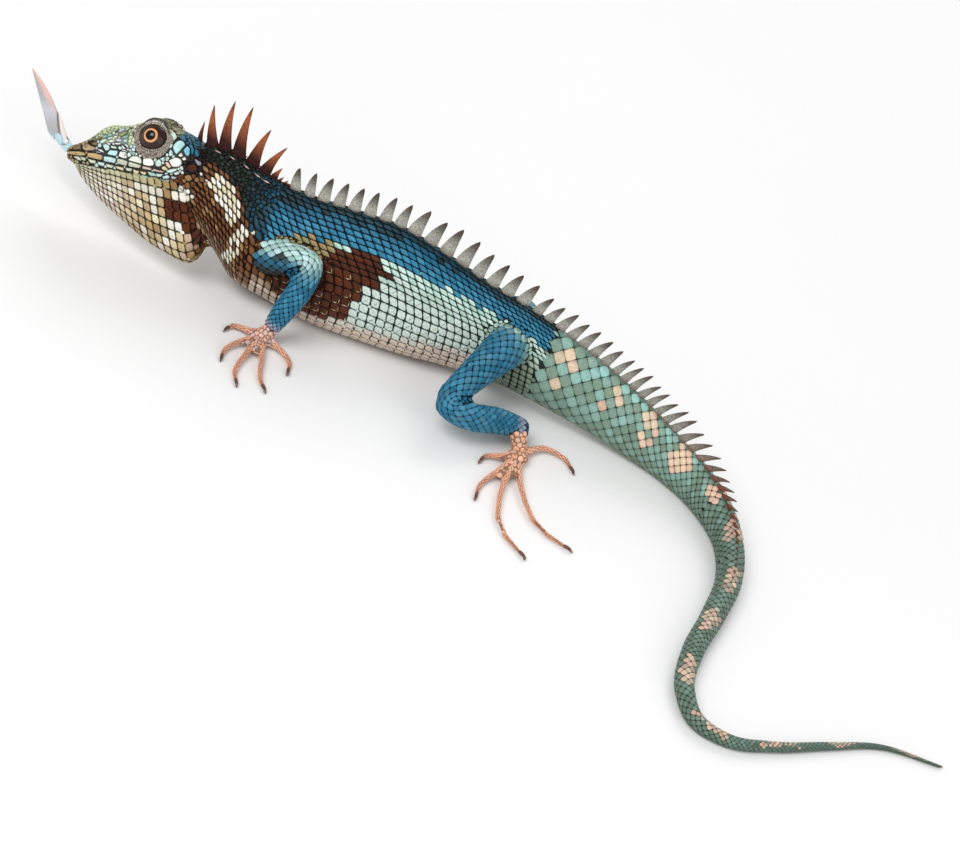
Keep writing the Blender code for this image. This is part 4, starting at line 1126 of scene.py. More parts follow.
def lay_toe(number, palm, toe, tree, roots, coat, draw):
    """Bands of small square scales round a toe, from its knuckle to the claw."""
    track, end, tip = toe_track(palm, toe)
    places = np.linspace(0.8, track.length + 0.15, 40)
    rings = np.array([tube_ring(track, s, 24, 0.8, Vector((0, 0, 1)), -0.1) for s in places])
    wrap = Wrap(places, rings, tree, search=0.6, slack=0.3)
    cells, rows, along, band = [], [], 1.2, 0
    while along < track.length - 0.15:
        share = along / track.length
        for k in range(TOE_COUNT):
            cells.append((along, (k + 0.5 * (band % 2)) / TOE_COUNT, TOE_PITCH * 0.54, 0.0, 0.0,
                          0.5 / TOE_COUNT))
            body = mixed("toe", "salmon", 0.5 * draw.random()) * draw.uniform(0.9, 1.08)
            body = mixed(body, "maroon", max(0.0, share - 0.93) * 3.0)
            body = mixed("wrist_pale", body, share * (9.0 if palm[0] > 20 else 5.0))
            rows.append((body, mixed(body, "toe_band", 0.9), body * 1.05))
        along += TOE_PITCH / 2
        band += 1
    for spot in (tip, end.lerp(tip, 0.5)):
        roots.put(spot, 0.55)

    def unwrap(own):
        return np.stack([(number + np.mod(own[:, 1], 1.0)) / 20, own[:, 0] / 16], axis=1)

    roots.put_laid(lay_cells(coat, wrap, cells, outline_shape(FINE, 1.3), tint_rows(rows), unwrap,
                             gap=0.11, height=0.13, lift=0.05, keel=0.0, ridge=(0.5, 0.0)),
                   1.1)


def head_unwrap(points):
    """Places on the bake map for points of the head."""
    forward, up, left = to_head(points).T
    return np.stack([(forward + 12) / 34, np.arctan2(left, up - 1.0) / (2 * np.pi) + 0.5], axis=1)


# Plates of the upper lip, as colour and corners: forward and up of each.
LIPS = [
    ("lip", (17.9, 0.3, 16.7, 0.6, 15, 0.8, 13.9, 0.7, 13.9, 0.3, 15.4, 0.1, 17.9, -0.1)),
    ("lip", (13.7, 0.8, 12.2, 1, 10.7, 0.8, 10.8, -0, 12.4, -0.1, 13.8, 0.2)),
    ("head_blue", (10.6, 0.7, 9.3, 0.8, 8.2, 0.6, 8.4, -0.2, 9.6, -0.2, 10.7, -0.1)),
    ("pale_lip", (8.1, 0.7, 7.1, 0.7, 6.1, 0.5, 6.3, -0.3, 7.3, -0.3, 8.3, -0.2)),
    ("pale_lip", (6, 0.5, 4.9, 0.4, 3.7, 0.2, 3.8, -0.3, 5.2, -0.4, 6.2, -0.3)),
    ("pink_lip", (3.6, 0.1, 2.8, 0.1, 1.8, -0, 1.8, -0.3, 2.7, -0.4, 3.6, -0.4)),
    ("pink_lip", (1.6, 0, 0.9, -0.1, -0.4, -0.2, -0.2, -0.4, 0.8, -0.4, 1.7, -0.4)),
]
# Plates of the head's side, in the same way.
PLATES = [
    ("snout", (17.9, 1.3, 17, 1.6, 16.8, 0.7, 17.9, 0.5)),
    ("snout", (16.8, 1.6, 15.9, 1.9, 15.2, 1.9, 15, 1.1, 16.5, 0.8)),
    ("snout_pale", (14.9, 1.7, 14.6, 2, 13.8, 2.2, 13.4, 2, 12.1, 1.8, 12.5, 1.3, 14.1, 1,
                   14.8, 1.2)),
    ("snout", (16.2, 2.2, 14.8, 2.4, 14.4, 2.2, 14.7, 2, 15.8, 1.9)),
    ("snout", (13.3, 2.4, 12.2, 2.8, 12, 2.5, 12.1, 2.1, 13, 2.1)),
    ("olive", (13.5, 3.1, 12.6, 3.3, 12.4, 3.1, 13.6, 2.6, 14.3, 2.6)),
    ("snout", (12.4, 3.2, 11.8, 3.6, 11.4, 3.4, 12.2, 3)),
    ("white", (12, 1.6, 11.1, 1.7, 10.5, 1.2, 11.3, 1.3)),
    ("wrist", (12.3, 1.2, 11.5, 1.3, 11, 1.1, 11.9, 1)),
    ("head_blue", (11.1, 2.4, 10.5, 2.7, 9.8, 2.5, 9.7, 1.8, 10.3, 1.5, 10.7, 1.8)),
    ("temple", (10.1, 1.1, 9.7, 1.8, 8.3, 1.9, 8.1, 1.7, 8.3, 1, 9.4, 1)),
    ("white", (8, 1.1, 7.8, 1.9, 6.6, 1.9, 6.3, 0.9, 7.2, 0.8)),
    ("white", (6.2, 0.7, 5.6, 1.4, 4.6, 1.6, 3.7, 1.2, 3.6, 0.4, 5, 0.5)),
    ("white", (3.5, 1.3, 2.9, 1.5, 2, 1.5, 1.5, 1.2, 1.4, 0.5, 2.3, 0.2, 3.5, 0.3)),
    ("pale_mint", (1.3, 1.1, 0.7, 1.7, 0.2, 1.3, 0.1, 0.6, 0.7, 0.3, 1.2, 0.4)),
    ("head_blue", (0.6, 1.7, -0.2, 2.1, -0.4, 1.4, 0.1, 1.3)),
    ("salmon", (-0.4, 1.3, -0.9, 1.4, -1.6, 0.7, -1.2, 0.3, -0.6, 0.8)),
    ("cream", (0.1, 0.5, -0.5, 0.7, -1.1, 0.1, -0.4, -0.1, 0.1, 0.1)),
    ("white", (-0.9, 1.6, -2, 2.3, -2.9, 2.1, -3.3, 1.4, -2.9, 0.8, -1.7, 0.6)),
    ("white", (-2.3, 2.5, -2.7, 3.1, -3.2, 2.6, -2.8, 2.3)),
    ("white", (-3, 2.1, -3.4, 2.5, -3.8, 2.1, -3.4, 1.8)),
    ("temple", (-1.1, 3.8, -1.4, 4.5, -1.8, 4.9, -2.5, 4.8, -3, 4.3, -2.6, 3.4, -2, 2.6, -1.6,
               2.9)),
    ("temple_blue", (-2.9, 3.4, -3.3, 4.2, -3.9, 3.7, -4.1, 2.9, -3.9, 2.5, -3.5, 2.7)),
    ("head_blue", (-0.7, 2.8, -0.9, 3.4, -1.4, 3, -1.6, 2.4, -0.9, 2.2)),
    ("pale_mint", (-0.6, 3.7, -0.9, 4.3, -1.1, 4.1, -1, 3.5, -0.7, 3.5)),
    ("nape_blue", (-3.3, 4.4, -3.8, 4.4, -4.5, 3.6, -4.6, 2.8, -4.3, 2.8, -4, 3.7)),
    ("nape_blue", (-4.5, 3.8, -4.9, 3.6, -5.3, 2.9, -5.3, 2.5, -4.7, 2.9)),
    ("nape_blue", (-1.4, 5.6, -2.1, 5.5, -2.9, 4.7, -2.5, 4.8, -1.8, 5)),
    ("nape_blue", (-2.7, 5.1, -3.2, 5, -3.7, 4.5, -3.2, 4.6)),
    ("pale_mint", (-0.1, 6, -0.7, 5.8, -1.4, 5.2, -1.1, 4.6, -0.6, 5.2)),
    ("wrist", (-4.9, 2.3, -5.4, 2.2, -5.9, 1.7, -6, 1.2, -5.5, 1.5)),
    ("pale_mint", (-1.9, -0.3, -2.8, 0.2, -3, -0.3, -2.3, -0.6)),
    ("pale_mint", (-0.6, -0.1, -1.6, 0.4, -2.7, 0.6, -2.6, 0.3, -1.6, -0.4, -0.9, -0.3)),
    ("pale_mint", (11.8, 2.9, 10.7, 3.5, 10.4, 3.3, 10.9, 2.8, 11.5, 2.5)),
    ("white", (10.2, 3.2, 9.3, 3.5, 9, 3.3, 9.7, 2.9)),
    ("wrist_pale", (8.9, 3.6, 8.4, 3.8, 7.7, 3.6, 8, 3.3, 8.7, 3.3)),
    ("head_blue", (7.5, 3.7, 6.8, 4, 6.7, 3.4, 7.3, 3.3)),
    ("pale_mint", (9.7, 2.5, 8.5, 2.5, 8.5, 2.1, 9.5, 2.1)),
    ("white", (9, 3, 7.9, 3.2, 7.9, 2.9, 8.4, 2.8, 8.9, 2.8)),
    ("pale_mint", (8.3, 2.3, 8.1, 2.7, 7.3, 2.4, 7.8, 2)),
    ("white", (7.8, 2.8, 7.4, 2.8, 6.8, 2.3, 7.1, 2.2)),
    ("pale_mint", (7.3, 3.1, 6.6, 3.1, 6.3, 2.5, 6.7, 2.6)),
    ("white", (7.5, 2.2, 6.7, 2.1, 6.3, 1.9, 7.5, 2)),
    ("pale_mint", (10.4, 3.6, 9.6, 3.9, 9.5, 3.7, 10.1, 3.4)),
    ("white", (9.4, 3.9, 8.9, 4.2, 8.7, 3.9, 9.2, 3.7)),
    ("mint", (11.4, 3.8, 10.7, 4, 10.4, 3.8, 11.1, 3.5)),
    ("mint", (10.5, 4.1, 10, 4.4, 9.6, 4.1, 10.4, 3.8)),
    ("pale_mint", (9.9, 4.5, 9.4, 4.8, 9.1, 4.4, 9.6, 4.2)),
    ("wrist_pale", (8.9, 4.8, 8.3, 5.3, 7.7, 5.4, 7.8, 5.2, 8.5, 4.7)),
    ("pouch_green", (8.6, 4.3, 7.5, 5, 6.9, 5.1, 7.8, 4.3, 8.3, 4.1)),
    ("mint", (7.8, 4.1, 6.8, 4.7, 6.8, 4.2, 7.5, 3.9)),
    ("pale_lip", (16.4, -0.2, 15.4, -0, 14.5, -0.6, 15.2, -0.7)),
    ("pale_lip", (15.2, -0, 13.9, -0.1, 13.9, -0.6, 14.5, -0.6)),
    ("pale_lip", (13.6, -0.2, 12, -0.3, 12, -0.8, 13.1, -0.8)),
    ("pale_mint", (11.8, -0.4, 10.4, -0.4, 10.4, -1, 11.5, -0.9)),
    ("pale_lip", (10.2, -0.5, 8.6, -0.6, 9, -1.1, 10, -1)),
    ("cream", (8.4, -0.6, 6.8, -0.7, 6.9, -1.2, 8.1, -1)),
    ("pale_lip", (6.6, -0.6, 5.3, -0.6, 5.4, -1.1, 6.4, -1.1)),
    ("cream", (5.2, -0.7, 4, -0.8, 4.2, -1.3, 5, -1.3)),
    ("cream", (3.9, -0.8, 2.7, -0.8, 2.9, -1.3, 3.6, -1.2)),
    ("mint", (2.6, -0.7, 1.3, -0.7, 0.7, -1.2, 2.2, -1.3)),
    ("pale_mint", (1.1, -0.8, -0.2, -0.7, 0.2, -1.2, 0.8, -1.3)),
    ("head_blue", (-0, -1.1, -0.9, -0.7, -1.4, -1, -1.1, -1.3, -0.1, -1.5)),
    ("wrist_pale", (-1.5, -0.8, -2.6, -0.9, -2.1, -1.3, -1.6, -1.2)),
    ("pouch_green", (10.1, -1.3, 9, -1.2, 8.5, -1.5, 9.5, -1.6)),
    ("pouch_green", (8.3, -1.2, 7, -1.5, 7.2, -1.9, 8.1, -1.7)),
    ("olive", (6.8, -1.4, 5.4, -1.3, 5.7, -1.9, 6.7, -2)),
    ("pouch_green", (5.2, -1.1, 3.9, -1.3, 4.3, -1.9, 5.2, -1.8)),
    ("pouch_green", (5.1, -1.3, 3.8, -1.3, 4, -1.9, 4.8, -2)),
    ("mint", (3.7, -1.3, 2.5, -1.4, 2.8, -2, 3.7, -2)),
    ("pouch_green", (2.3, -1.4, 0.6, -1.4, 1, -1.8, 2.3, -1.8)),
    ("mint", (0.6, -1.4, 0.1, -1.6, -1.3, -1.5, -1, -2, 0.1, -1.9)),
]
# Middles of the dark spot over the ear drum and of the nostril, and the radius that the
# plates leave free round these and the drum.
EAR_SPOT, NOSTRIL = (-4.4, 2.3), (14.1, 1.75)
HOLES = [(EAR_AT, 1.15), (EAR_SPOT, 0.5), (NOSTRIL, 0.38)]
PLATE_GAP = 0.08
POUCH_ROWS, POUCH_PITCH, POUCH_LEAN = 9, 1.32, 2.6
# Markings of the throat, forward and up of their corners.
POUCH_WHITE = [((-2.1, -2.4), (-5.9, -2.2), (-5.6, -4.6), (-2.0, -4.7)),
               ((-1.0, -7.9), (-3.9, -7.5), (-4.0, -10.3), (-1.2, -10.2))]
POUCH_BROWN = ((-0.2, -4.7), (-2.2, -4.8), (-5.5, -4.7), (-6.0, -4.0), (-5.9, -2.0), (-7.1, -0.3),
               (-9.5, -3.9), (-10.5, -6.8), (-10.5, -9.6), (-6.5, -11.1), (-4.0, -10.6),
               (-3.8, -7.3), (-0.8, -7.4))


def side_root(tree, forward, up, side):
    """The skin's point and facing at a place of the head's side view."""
    start = Vector(in_head((forward, up, 14.0 * side)))
    aim = Vector(HEAD_AXES[2]) * -side
    hit, facing, _, _ = tree.ray_cast(start, aim)
    if hit is not None and (to_head(hit)[2] * side) < -0.5:
        return None, None
    return hit, facing


def nearest_root(tree, place, middle, side):
    """The skin at a place of the side view, or as near to it as the head's outline lets."""
    for share in (0.0, 0.12, 0.25, 0.4, 0.6):
        hit, facing = side_root(tree, *(place + (middle - place) * share), side)
        if hit is not None:
            return hit, facing
    return None, None


def plate_outline(tree, corners, side):
    """A plate's outline, laid on the skin from its corners in the side view."""
    pairs = np.array(corners, float).reshape(-1, 2)
    ring = evened(np.column_stack([pairs, np.zeros(len(pairs))]), ROUND)[:, :2]
    middle = ring.mean(axis=0)
    away = ring - middle
    reach = np.linalg.norm(away, axis=1, keepdims=True)
    ring = middle + away * np.maximum(1 - PLATE_GAP / 2 / reach, 0.4)
    if np.cross(ring[0] - middle, ring[ROUND // 4] - middle) < 0:
        ring = ring[::-1]
    spots = [nearest_root(tree, place, middle, side) for place in ring]
    if any(hit is None for hit, _ in spots):
        return None
    points = np.array([list(hit) for hit, _ in spots])
    facings = np.array([list(facing) for _, facing in spots])
    return points, unit(facings + unit(facings.mean(axis=0)) * 1.5)


def lay_drawn(tree, table, height, roots, coat, draw):
    """Plates of both sides, drawn by their corners."""
    angles = 2 * np.pi * np.arange(ROUND) / ROUND
    local = np.stack([np.cos(angles), np.sin(angles)], axis=1)
    outlines, facings, rows = [], [], []
    for colour, corners in table:
        shade = draw.uniform(0.92, 1.06)
        for side in (1, -1):
            found = plate_outline(tree, corners, side)
            if found is None:
                continue
            points, normals = found
            body = TINTS[colour] * shade
            rows.append((body, TINTS["ink"] + body * 0.12, body))
            outlines.append(points)
            facings.append(normals)
            centre = points.mean(axis=0)
            reach = np.linalg.norm(points - centre, axis=1)
            roots.put(centre, max(reach.min() * 0.9, 0.15))
            for point, far in zip(points, reach):
                inner = min(0.22, far * 0.5)
                roots.put(point + (centre - point) * inner / far, inner)
    outlines = np.array(outlines)
    coat.add(outlines, np.array(facings), local, tint_rows(rows),
             head_unwrap(outlines.mean(axis=1)), height)


def lay_plates(tree, roots, coats, draw):
    """The named plates of the head and the room for ears and nostrils."""
    lay_drawn(tree, LIPS, 0.24, roots, coats["lip_plates"], draw)
    lay_drawn(tree, PLATES, 0.16, roots, coats["head_plates"], draw)
    for side in (1, -1):
        for place, radius in HOLES:
            hit, _ = side_root(tree, place[0], place[1], side)
            if hit is not None:
                roots.put(hit, radius)


def lay_pouch(tree, roots, coat, draw):
    """Square lattice of the throat pouch, its rows drawn together towards the chin."""
    for side in (1, -1):
        places = np.arange(-6.5, 16.7, 0.3)
        rings = []
        for forward in places:
            half = pouch_ring(forward, 40)
            half = half[half[:, 1] < -1.2]
            half[:, 2] *= side
            rings.append(in_head(evened(half, 40, closed=False)))
        wrap = Wrap(places, np.array(rings)[:, :: side], tree, closed=False, slack=0.9)
        cells, rows = [], []
        forward = 16.4
        while forward > -8.5:
            depth = float(wrap.girth_at(max(forward, -6.0)))
            pitch = min(max(depth / POUCH_ROWS * 1.05, 0.9), POUCH_PITCH)
            for row in range(POUCH_ROWS):
                share = (row + 0.5) / POUCH_ROWS
                lean = -POUCH_LEAN * min(depth / 13.0, 1.0)
                place = forward + lean * (share - 0.5)
                if not -6.3 < place < 16.3:
                    continue
                at = share if side > 0 else 1 - share
                cells.append((place, at, -pitch / 2, 0.0, lean / POUCH_ROWS / 2,
                              side * 0.5 / POUCH_ROWS))
                rows.append(pouch_tints(place, share, draw, wrap, at))
            forward -= pitch

        def unwrap(own):
            return np.stack([(own[:, 0] + 8) / 26, 0.5 + 0.5 * side * own[:, 1]], axis=1)

        roots.put_laid(lay_cells(coat, wrap, cells, outline_shape(FINE, 5.0), tint_rows(rows),
                                 unwrap, gap=0.09, height=0.13, lift=0.05, keel=0.0,
                                 ridge=(0.35, 0.0)), 1.05)


def pouch_tints(forward, share, draw, wrap, at):
    """Colours of a scale of the pouch, share being 0 at its root and 1 at the keel."""
    point, _, _ = wrap.at(np.array([forward]), np.array([at]))
    a, b, _ = to_head(point[0])
    body = pouch_body(a, b, draw)
    body = mixed(body, "pouch_rim", edge_between(share, 0.86, 0.04) * 0.7)
    body = body * draw.uniform(0.9, 1.08)
    return body, TINTS["ink"] + body * 0.12, body


def pouch_body(a, b, draw):
    """Colour of the throat at a place of the head's side view."""
    if any(inside((a, b), patch) for patch in POUCH_WHITE):
        return mixed("white", "cream", draw.random() * 0.4)
    if inside((a + draw.uniform(-0.3, 0.3), b + draw.uniform(-0.3, 0.3)), POUCH_BROWN):
        return mixed("rust", "maroon", draw.random())
    body = mixed("pouch", "cream", draw.random() * 1.2)
    kind = draw.random()
    body = mixed(body, "white", 0.7 if kind < 0.2 else 0.0)
    body = mixed(body, "pouch_rim", 0.6 if kind > 0.88 else 0.0)
    body = mixed(body, "pink_lip", 0.6 if 0.5 < kind < 0.6 else 0.0)
    body = mixed(body, "white", edge_between(a, 7.0, 2.0) * 0.5)
    body = mixed(body, "pouch_green", edge_between(b, -3.0, 0.6) * 0.55)
    if a < 0.8:
        brown = mixed("rust", "pouch_rim", draw.random())
        body = mixed(body, brown, edge_between(b, -4.4, 0.3) * min((0.8 - a) / 2.5, 1.0))
        body = mixed(body, brown, min(max(-4.0 - a, 0.0) / 2.0, 1.0))
    return body


DOME_REAR, DOME_FRONT, DOME_UNDER = 3.6, 12.6, 3.0  # where the dome over the snout lies
EAR_REACH = 1.75  # round the drum, how far its dark granules reach
PAW_TOP = 4.5  # level up to which hands and feet are filled with toe scales
# Radii of the filling scales, by where they lie.
RADII = {"ear": 0.3, "snout": 0.34, "dome": 0.27, "temple": 0.42, "crown": 0.36, "cheek": 0.32,
         "pouch": 0.5, "nape": 0.33, "neck": 0.45, "foot": 0.5, "hand": 0.4, "trunk": 0.42,
         "limb": 0.4}


def fill_plan(point, wrap_index, wrap_spots, draw):
    """Radius, piece and colour of a filling scale at a free place on the skin."""
    a, b, _ = to_head(point)
    _, n, apart = wrap_index.find(Vector(point))
    along, share = wrap_spots[n]
    if a > -6.4 and b > -1.0 and not (a < -2.6 and b < 0.0):
        if math.hypot(a - EAR_AT[0], (b - 1.6) * 0.75) < EAR_REACH:
            return RADII["ear"], "head_plates", mixed("ear", "ink", draw.random())
        if a > DOME_FRONT:
            top = "dome" if b > 2.3 else "snout_pale"
            return RADII["snout"], "head_plates", mixed(top, "olive", draw.random() * 0.8)
        if a > DOME_REAR and b > DOME_UNDER:
            dome = mixed("dome", "pouch_green", draw.random()**2 * 0.6)
            dome = mixed(dome, "brow", 0.9 if draw.random() < 0.12 else 0)
            return RADII["dome"], "head_plates", dome
        if a < -1.5 and b > 3.0:
            blue = mixed("nape_blue", "moss", draw.random() * 0.6)
            blue = mixed(blue, "black_green", (-3.0 - a) / 3 * draw.random())
            return RADII["temple"], "head_plates", blue
        if b > 5.0:
            green = mixed("pouch_green", "moss", draw.random() * 0.8)
            return RADII["crown"], "head_plates", green
        pale = mixed("white", "pale_mint", draw.random())
        return RADII["cheek"], "head_plates", mixed(pale, "head_blue", draw.random() * 0.7)
    if a > -7.0 and b < 0.0 and a < 18:
        return RADII["pouch"], "pouch_scales", pouch_body(a, b, draw)
    if along < 20 and apart < 1.5:
        body, _, _ = body_tints(along, share, draw)
        return RADII["nape" if share < 0.42 else "neck"], "nape_scales", body
    if point[2] < PAW_TOP and (point[1] < -8.5 or point[1] > 8.0):
        if point[0] > 20:
            return RADII["foot"], "digit_scales", mixed("toe", "salmon", draw.random() * 0.5)
        palm = mixed("wrist_pale", "toe", draw.random() * 0.6 + 0.4)
        return RADII["hand"], "digit_scales", palm
    if apart < 1.2:
        body, _, _ = body_tints(along, share, draw)
        return RADII["trunk"], "back_scales", body
    return RADII["limb"], "limb_scales", mixed("deep_blue", "blue", draw.random())


def eye_clear(point):
    """Whether a point is outside both eyes and their lids."""
    a, b, c = to_head(point)
    rise = 1.0 if b < EYE_AT[1] else 1.3
    return math.hypot(a - EYE_AT[0], (b - EYE_AT[1]) * rise) > LID_REACH or abs(c) < 2.2


def fill_skin(skin, tree, wrap, roots, coats, draw):
    """Irregular scales wherever no named or regular ones lie."""
    index = KDTree(int(wrap.open.sum()))
    spots, row = [], 0
    for i, j in zip(*np.nonzero(wrap.open)):
        index.insert(Vector(wrap.points[i, j]), row)
        share = j / wrap.count
        spots.append((wrap.places[i], 2 * min(share, 1 - share)))
        row += 1
    index.balance()
    faces = list(skin.data.polygons)
    order = np.random.default_rng(SEED).integers(0, len(faces), FILL_TRIES)
    chosen = {}
    for tried, number in enumerate(order):
        face = faces[number]
        point = face.center
        if not eye_clear(point) or not roots.free(point, 0.2):
            continue
        radius, name, body = fill_plan(point, index, spots, draw)
        radius *= 1.0 if tried < FILL_TRIES / 2 else FILL_LATE
        if roots.free(point, radius):
            chosen.setdefault(name, []).append((len(roots.points), face.normal.copy(), body))
            roots.put(point, radius)
    for name, rows in chosen.items():
        lay_fill(name, rows, tree, roots, coats[name])


def on_dome(point):
    """Whether a place lies on the dome over the snout."""
    forward, up, _ = to_head(point)
    return DOME_REAR < forward < DOME_FRONT and up > DOME_UNDER


REARWARD = {"digit_scales": (0.3, -1.0, 0.0)}


def lay_fill(name, rows, tree, roots, coat):
    """The filling scales of one piece, each row a root's number, facing and colour."""
    mine, facings, bodies = zip(*rows)
    facings = np.array([list(facing) for facing in facings])
    shade = np.random.default_rng(len(mine)).uniform(0.86, 1.12, (len(mine), 1))
    bodies = np.array(bodies) * shade
    rear = np.array(REARWARD.get(name, (1.0, 0.0, 0.05)))
    spots = np.array(roots.points)[list(mine)]
    if name in ("head_plates", "lip_plates", "pouch_scales", "nape_scales"):
        patches = head_unwrap(spots)
    else:
        patches = np.stack([(spots[:, 0] + 40) / 160, (spots[:, 1] + 55) / 75], axis=1)
    soft = np.array([[0.45 if on_dome(spot) or name == "digit_scales" else 0.12]
                     for spot in spots])
    tints = {"body": bodies, "edge": TINTS["ink"] + bodies * soft, "keel": bodies}
    spread = 2.1 if name == "digit_scales" else 1.5
    lay_mosaic(coat, tree, roots, mine, facings, rear, tints, patches, spread)


def node(tree, kind, **inputs):
    """A shader node with some of its inputs set."""
    made = tree.nodes.new(kind)
    for name, value in inputs.items():
        made.inputs[name].default_value = value
    return made


def scale_material(name, roughness, grain, relief, speckle=0.25, coat=0.0, gloss_level=0.22):
    """Colours from the piece's own attribute, with a fine grain and worn gloss."""
    material = bpy.data.materials.new(name)
    material.use_nodes = True
    tree = material.node_tree
    shader = tree.nodes["Principled BSDF"]
    shader.inputs["Coat Weight"].default_value = coat
    shader.inputs["Coat Roughness"].default_value = 0.15
    shader.inputs["Specular IOR Level"].default_value = gloss_level
    where = tree.nodes.new("ShaderNodeTexCoord")
    tone = tree.nodes.new("ShaderNodeAttribute")
    tone.attribute_name = "coat"
    fine = node(tree, "ShaderNodeTexNoise", Scale=grain, Detail=4.0, Roughness=0.65)
    broad = node(tree, "ShaderNodeTexNoise", Scale=grain / 9, Detail=2.0)
    for noise in (fine, broad):
        tree.links.new(where.outputs["Object"], noise.inputs["Vector"])
    strength = tree.nodes.new("ShaderNodeMapRange")
    strength.inputs["From Min"].default_value = 0.3
    strength.inputs["From Max"].default_value = 0.7
    strength.inputs["To Min"].default_value = 1.0 - speckle
    strength.inputs["To Max"].default_value = 1.0 + speckle * 0.6
    tree.links.new(fine.outputs["Fac"], strength.inputs["Value"])
    shaded = tree.nodes.new("ShaderNodeMix")
    shaded.data_type = "RGBA"
    shaded.blend_type = "MULTIPLY"
    shaded.inputs["Factor"].default_value = 1.0
    tree.links.new(tone.outputs["Color"], shaded.inputs["A"])
    tree.links.new(strength.outputs["Result"], shaded.inputs["B"])
    tree.links.new(shaded.outputs["Result"], shader.inputs["Base Color"])
    gloss = tree.nodes.new("ShaderNodeMapRange")
    gloss.inputs["To Min"].default_value = roughness * 0.75
    gloss.inputs["To Max"].default_value = roughness * 1.25
    tree.links.new(broad.outputs["Fac"], gloss.inputs["Value"])
    tree.links.new(gloss.outputs["Result"], shader.inputs["Roughness"])
    raised = node(tree, "ShaderNodeBump", Strength=relief, Distance=0.00006)
    tree.links.new(fine.outputs["Fac"], raised.inputs["Height"])
    tree.links.new(raised.outputs["Normal"], shader.inputs["Normal"])
    return material


def finish_piece(obj, material, slot, *nodes):
    """Material and body of a piece, and the solids whose place it takes; the slot is not used."""
    obj.data.materials.append(material)
    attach(obj, "root")
    if nodes:
        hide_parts(*nodes)


PUPIL, GOLD = 0.79, 1.13  # radii on the eye's face
CORNEA, CORNEA_RISE = 1.5, 0.16
EYE_TINTS = {"pupil": tint("060504"), "gold": tint("e2a670"), "brown": tint("300f03")}


def make_eye(name, side):
    """Ball with a bulging cornea, its rings coloured by distance from the axis."""
    centre, axis, first, second = eye_axes(side)
    first = first * side
    bm = bmesh.new()
    layer = bm.verts.layers.float_color.new("coat")
    bmesh.ops.create_uvsphere(bm, u_segments=64, v_segments=72, radius=EYE_RADIUS)
    turn = Matrix([list(first), list(second), list(axis)]).transposed()
    for vert in bm.verts:
        out = math.hypot(vert.co.x, vert.co.y)
        front = vert.co.z > 0
        if not front or out > GOLD:
            colour = EYE_TINTS["brown"] * (1.0 - 0.45 * min((out - GOLD) / 1.3, 1.0))
        else:
            colour = EYE_TINTS["gold" if out > PUPIL else "pupil"]
        vert[layer] = (*colour, 1.0)
        if front:
            vert.co.z += CORNEA_RISE * max(0.0, 1 - out / CORNEA)**0.8
        vert.co = Vector(centre) + turn @ vert.co
    return make_object(name, bm)


LID_ROWS, LID_SIDES = 11, 64
# Half axes of a lid's opening: forward, up and down. Then how far the lid reaches out on
# the head, and how much more under the eye and less over it.
OPENING_LONG, OPENING_UP, OPENING_DOWN = 2.36, 2.06, 2.12
LID_REACH, LID_DROP, LID_TRIM = 3.35, 0.3, 0.5
LID_FAT = 0.3  # how far a lid swells out near its edge
LID_DEEPEST, LID_SUNK = -1.9, 0.12  # least level of its outer edge, and how deep this lies
LID_CLEAR, BALL_CLEAR = 0.12, 0.13  # room between the lid and the skin, and the eyeball
BROW_SWELL = {1: 0.7, -1: 0.25}  # how far the brow stands out over the near and far eye
BROW_START = 0.24  # share of a lid's width, over the eye, where the long plates begin
LID_STEP, LID_GRANULE = 0.25, 0.125  # pitch and half length of the granules on a lid
BROW_PLATES, BROW_FROM, BROW_SPAN = 9, 0.055, 0.39  # their count, and share round of a row


def lid_rings(tree, side):
    """Rings of a lid, from the edge that lies on the eye out to the skin of the head."""
    centre, axis, ahead, above = eye_axes(side)
    rings = np.zeros((LID_ROWS, LID_SIDES, 3))
    for k in range(LID_SIDES):
        turn = 2 * math.pi * k / LID_SIDES
        run, rise = math.cos(turn), math.sin(turn)
        away = ahead * run + above * rise
        tall = OPENING_UP if rise > 0 else OPENING_DOWN
        inner = 1 / math.hypot(run / OPENING_LONG, rise / tall)
        outer = LID_REACH + LID_DROP * max(-rise, 0.0)**2 - LID_TRIM * max(rise, 0.0)**2
        ball = math.sqrt(EYE_RADIUS**2 - inner**2)
        edge = max(skin_level(tree, centre + away * outer, axis), LID_DEEPEST) - LID_SUNK
        for row in range(LID_ROWS):
            u = row / (LID_ROWS - 1)
            blend = u * u * (3 - 2 * u)
            out = inner + (outer - inner) * u
            fat = LID_FAT * math.sin(math.pi * min(u * 1.6, 1.0))
            level = (1 - blend) * (ball + 0.02 + fat)
            level += blend * edge
            if 0 < row < LID_ROWS - 1:
                under = skin_level(tree, centre + away * out, axis)
                level = max(level, under + LID_CLEAR) if under > -0.5 else level
                swell = max(rise, 0.0)**2 * math.sin(math.pi * min(max(u - 0.15, 0) / 0.85, 1))
                least = EYE_RADIUS + BALL_CLEAR + BROW_SWELL[side] * swell
                stretch = max(least / math.hypot(out, level), 1.0)
                out, level = out * stretch, level * stretch
            rings[row, k] = centre + away * out + axis * level
    return rings


def skin_level(tree, place, axis):
    """How high the skin stands along an axis over a place."""
    hit, _, _, _ = tree.ray_cast(Vector(place + axis * 6), Vector(-axis), 9.0)
    return (np.array(hit) - place) @ axis if hit is not None else -2.0


def lid_tint(run, rise, draw):
    """Grey granules, greener behind the eye and with dark ones before and under it."""
    body = mixed("lid", "lid_pale", draw.random())
    body = mixed(body, "olive", max(-run, 0.0) * 0.35)
    body = mixed(body, "lid_dark", draw.random()**2 * max(0.4 + 0.5 * run - 0.8 * rise, 0.0))
    return body


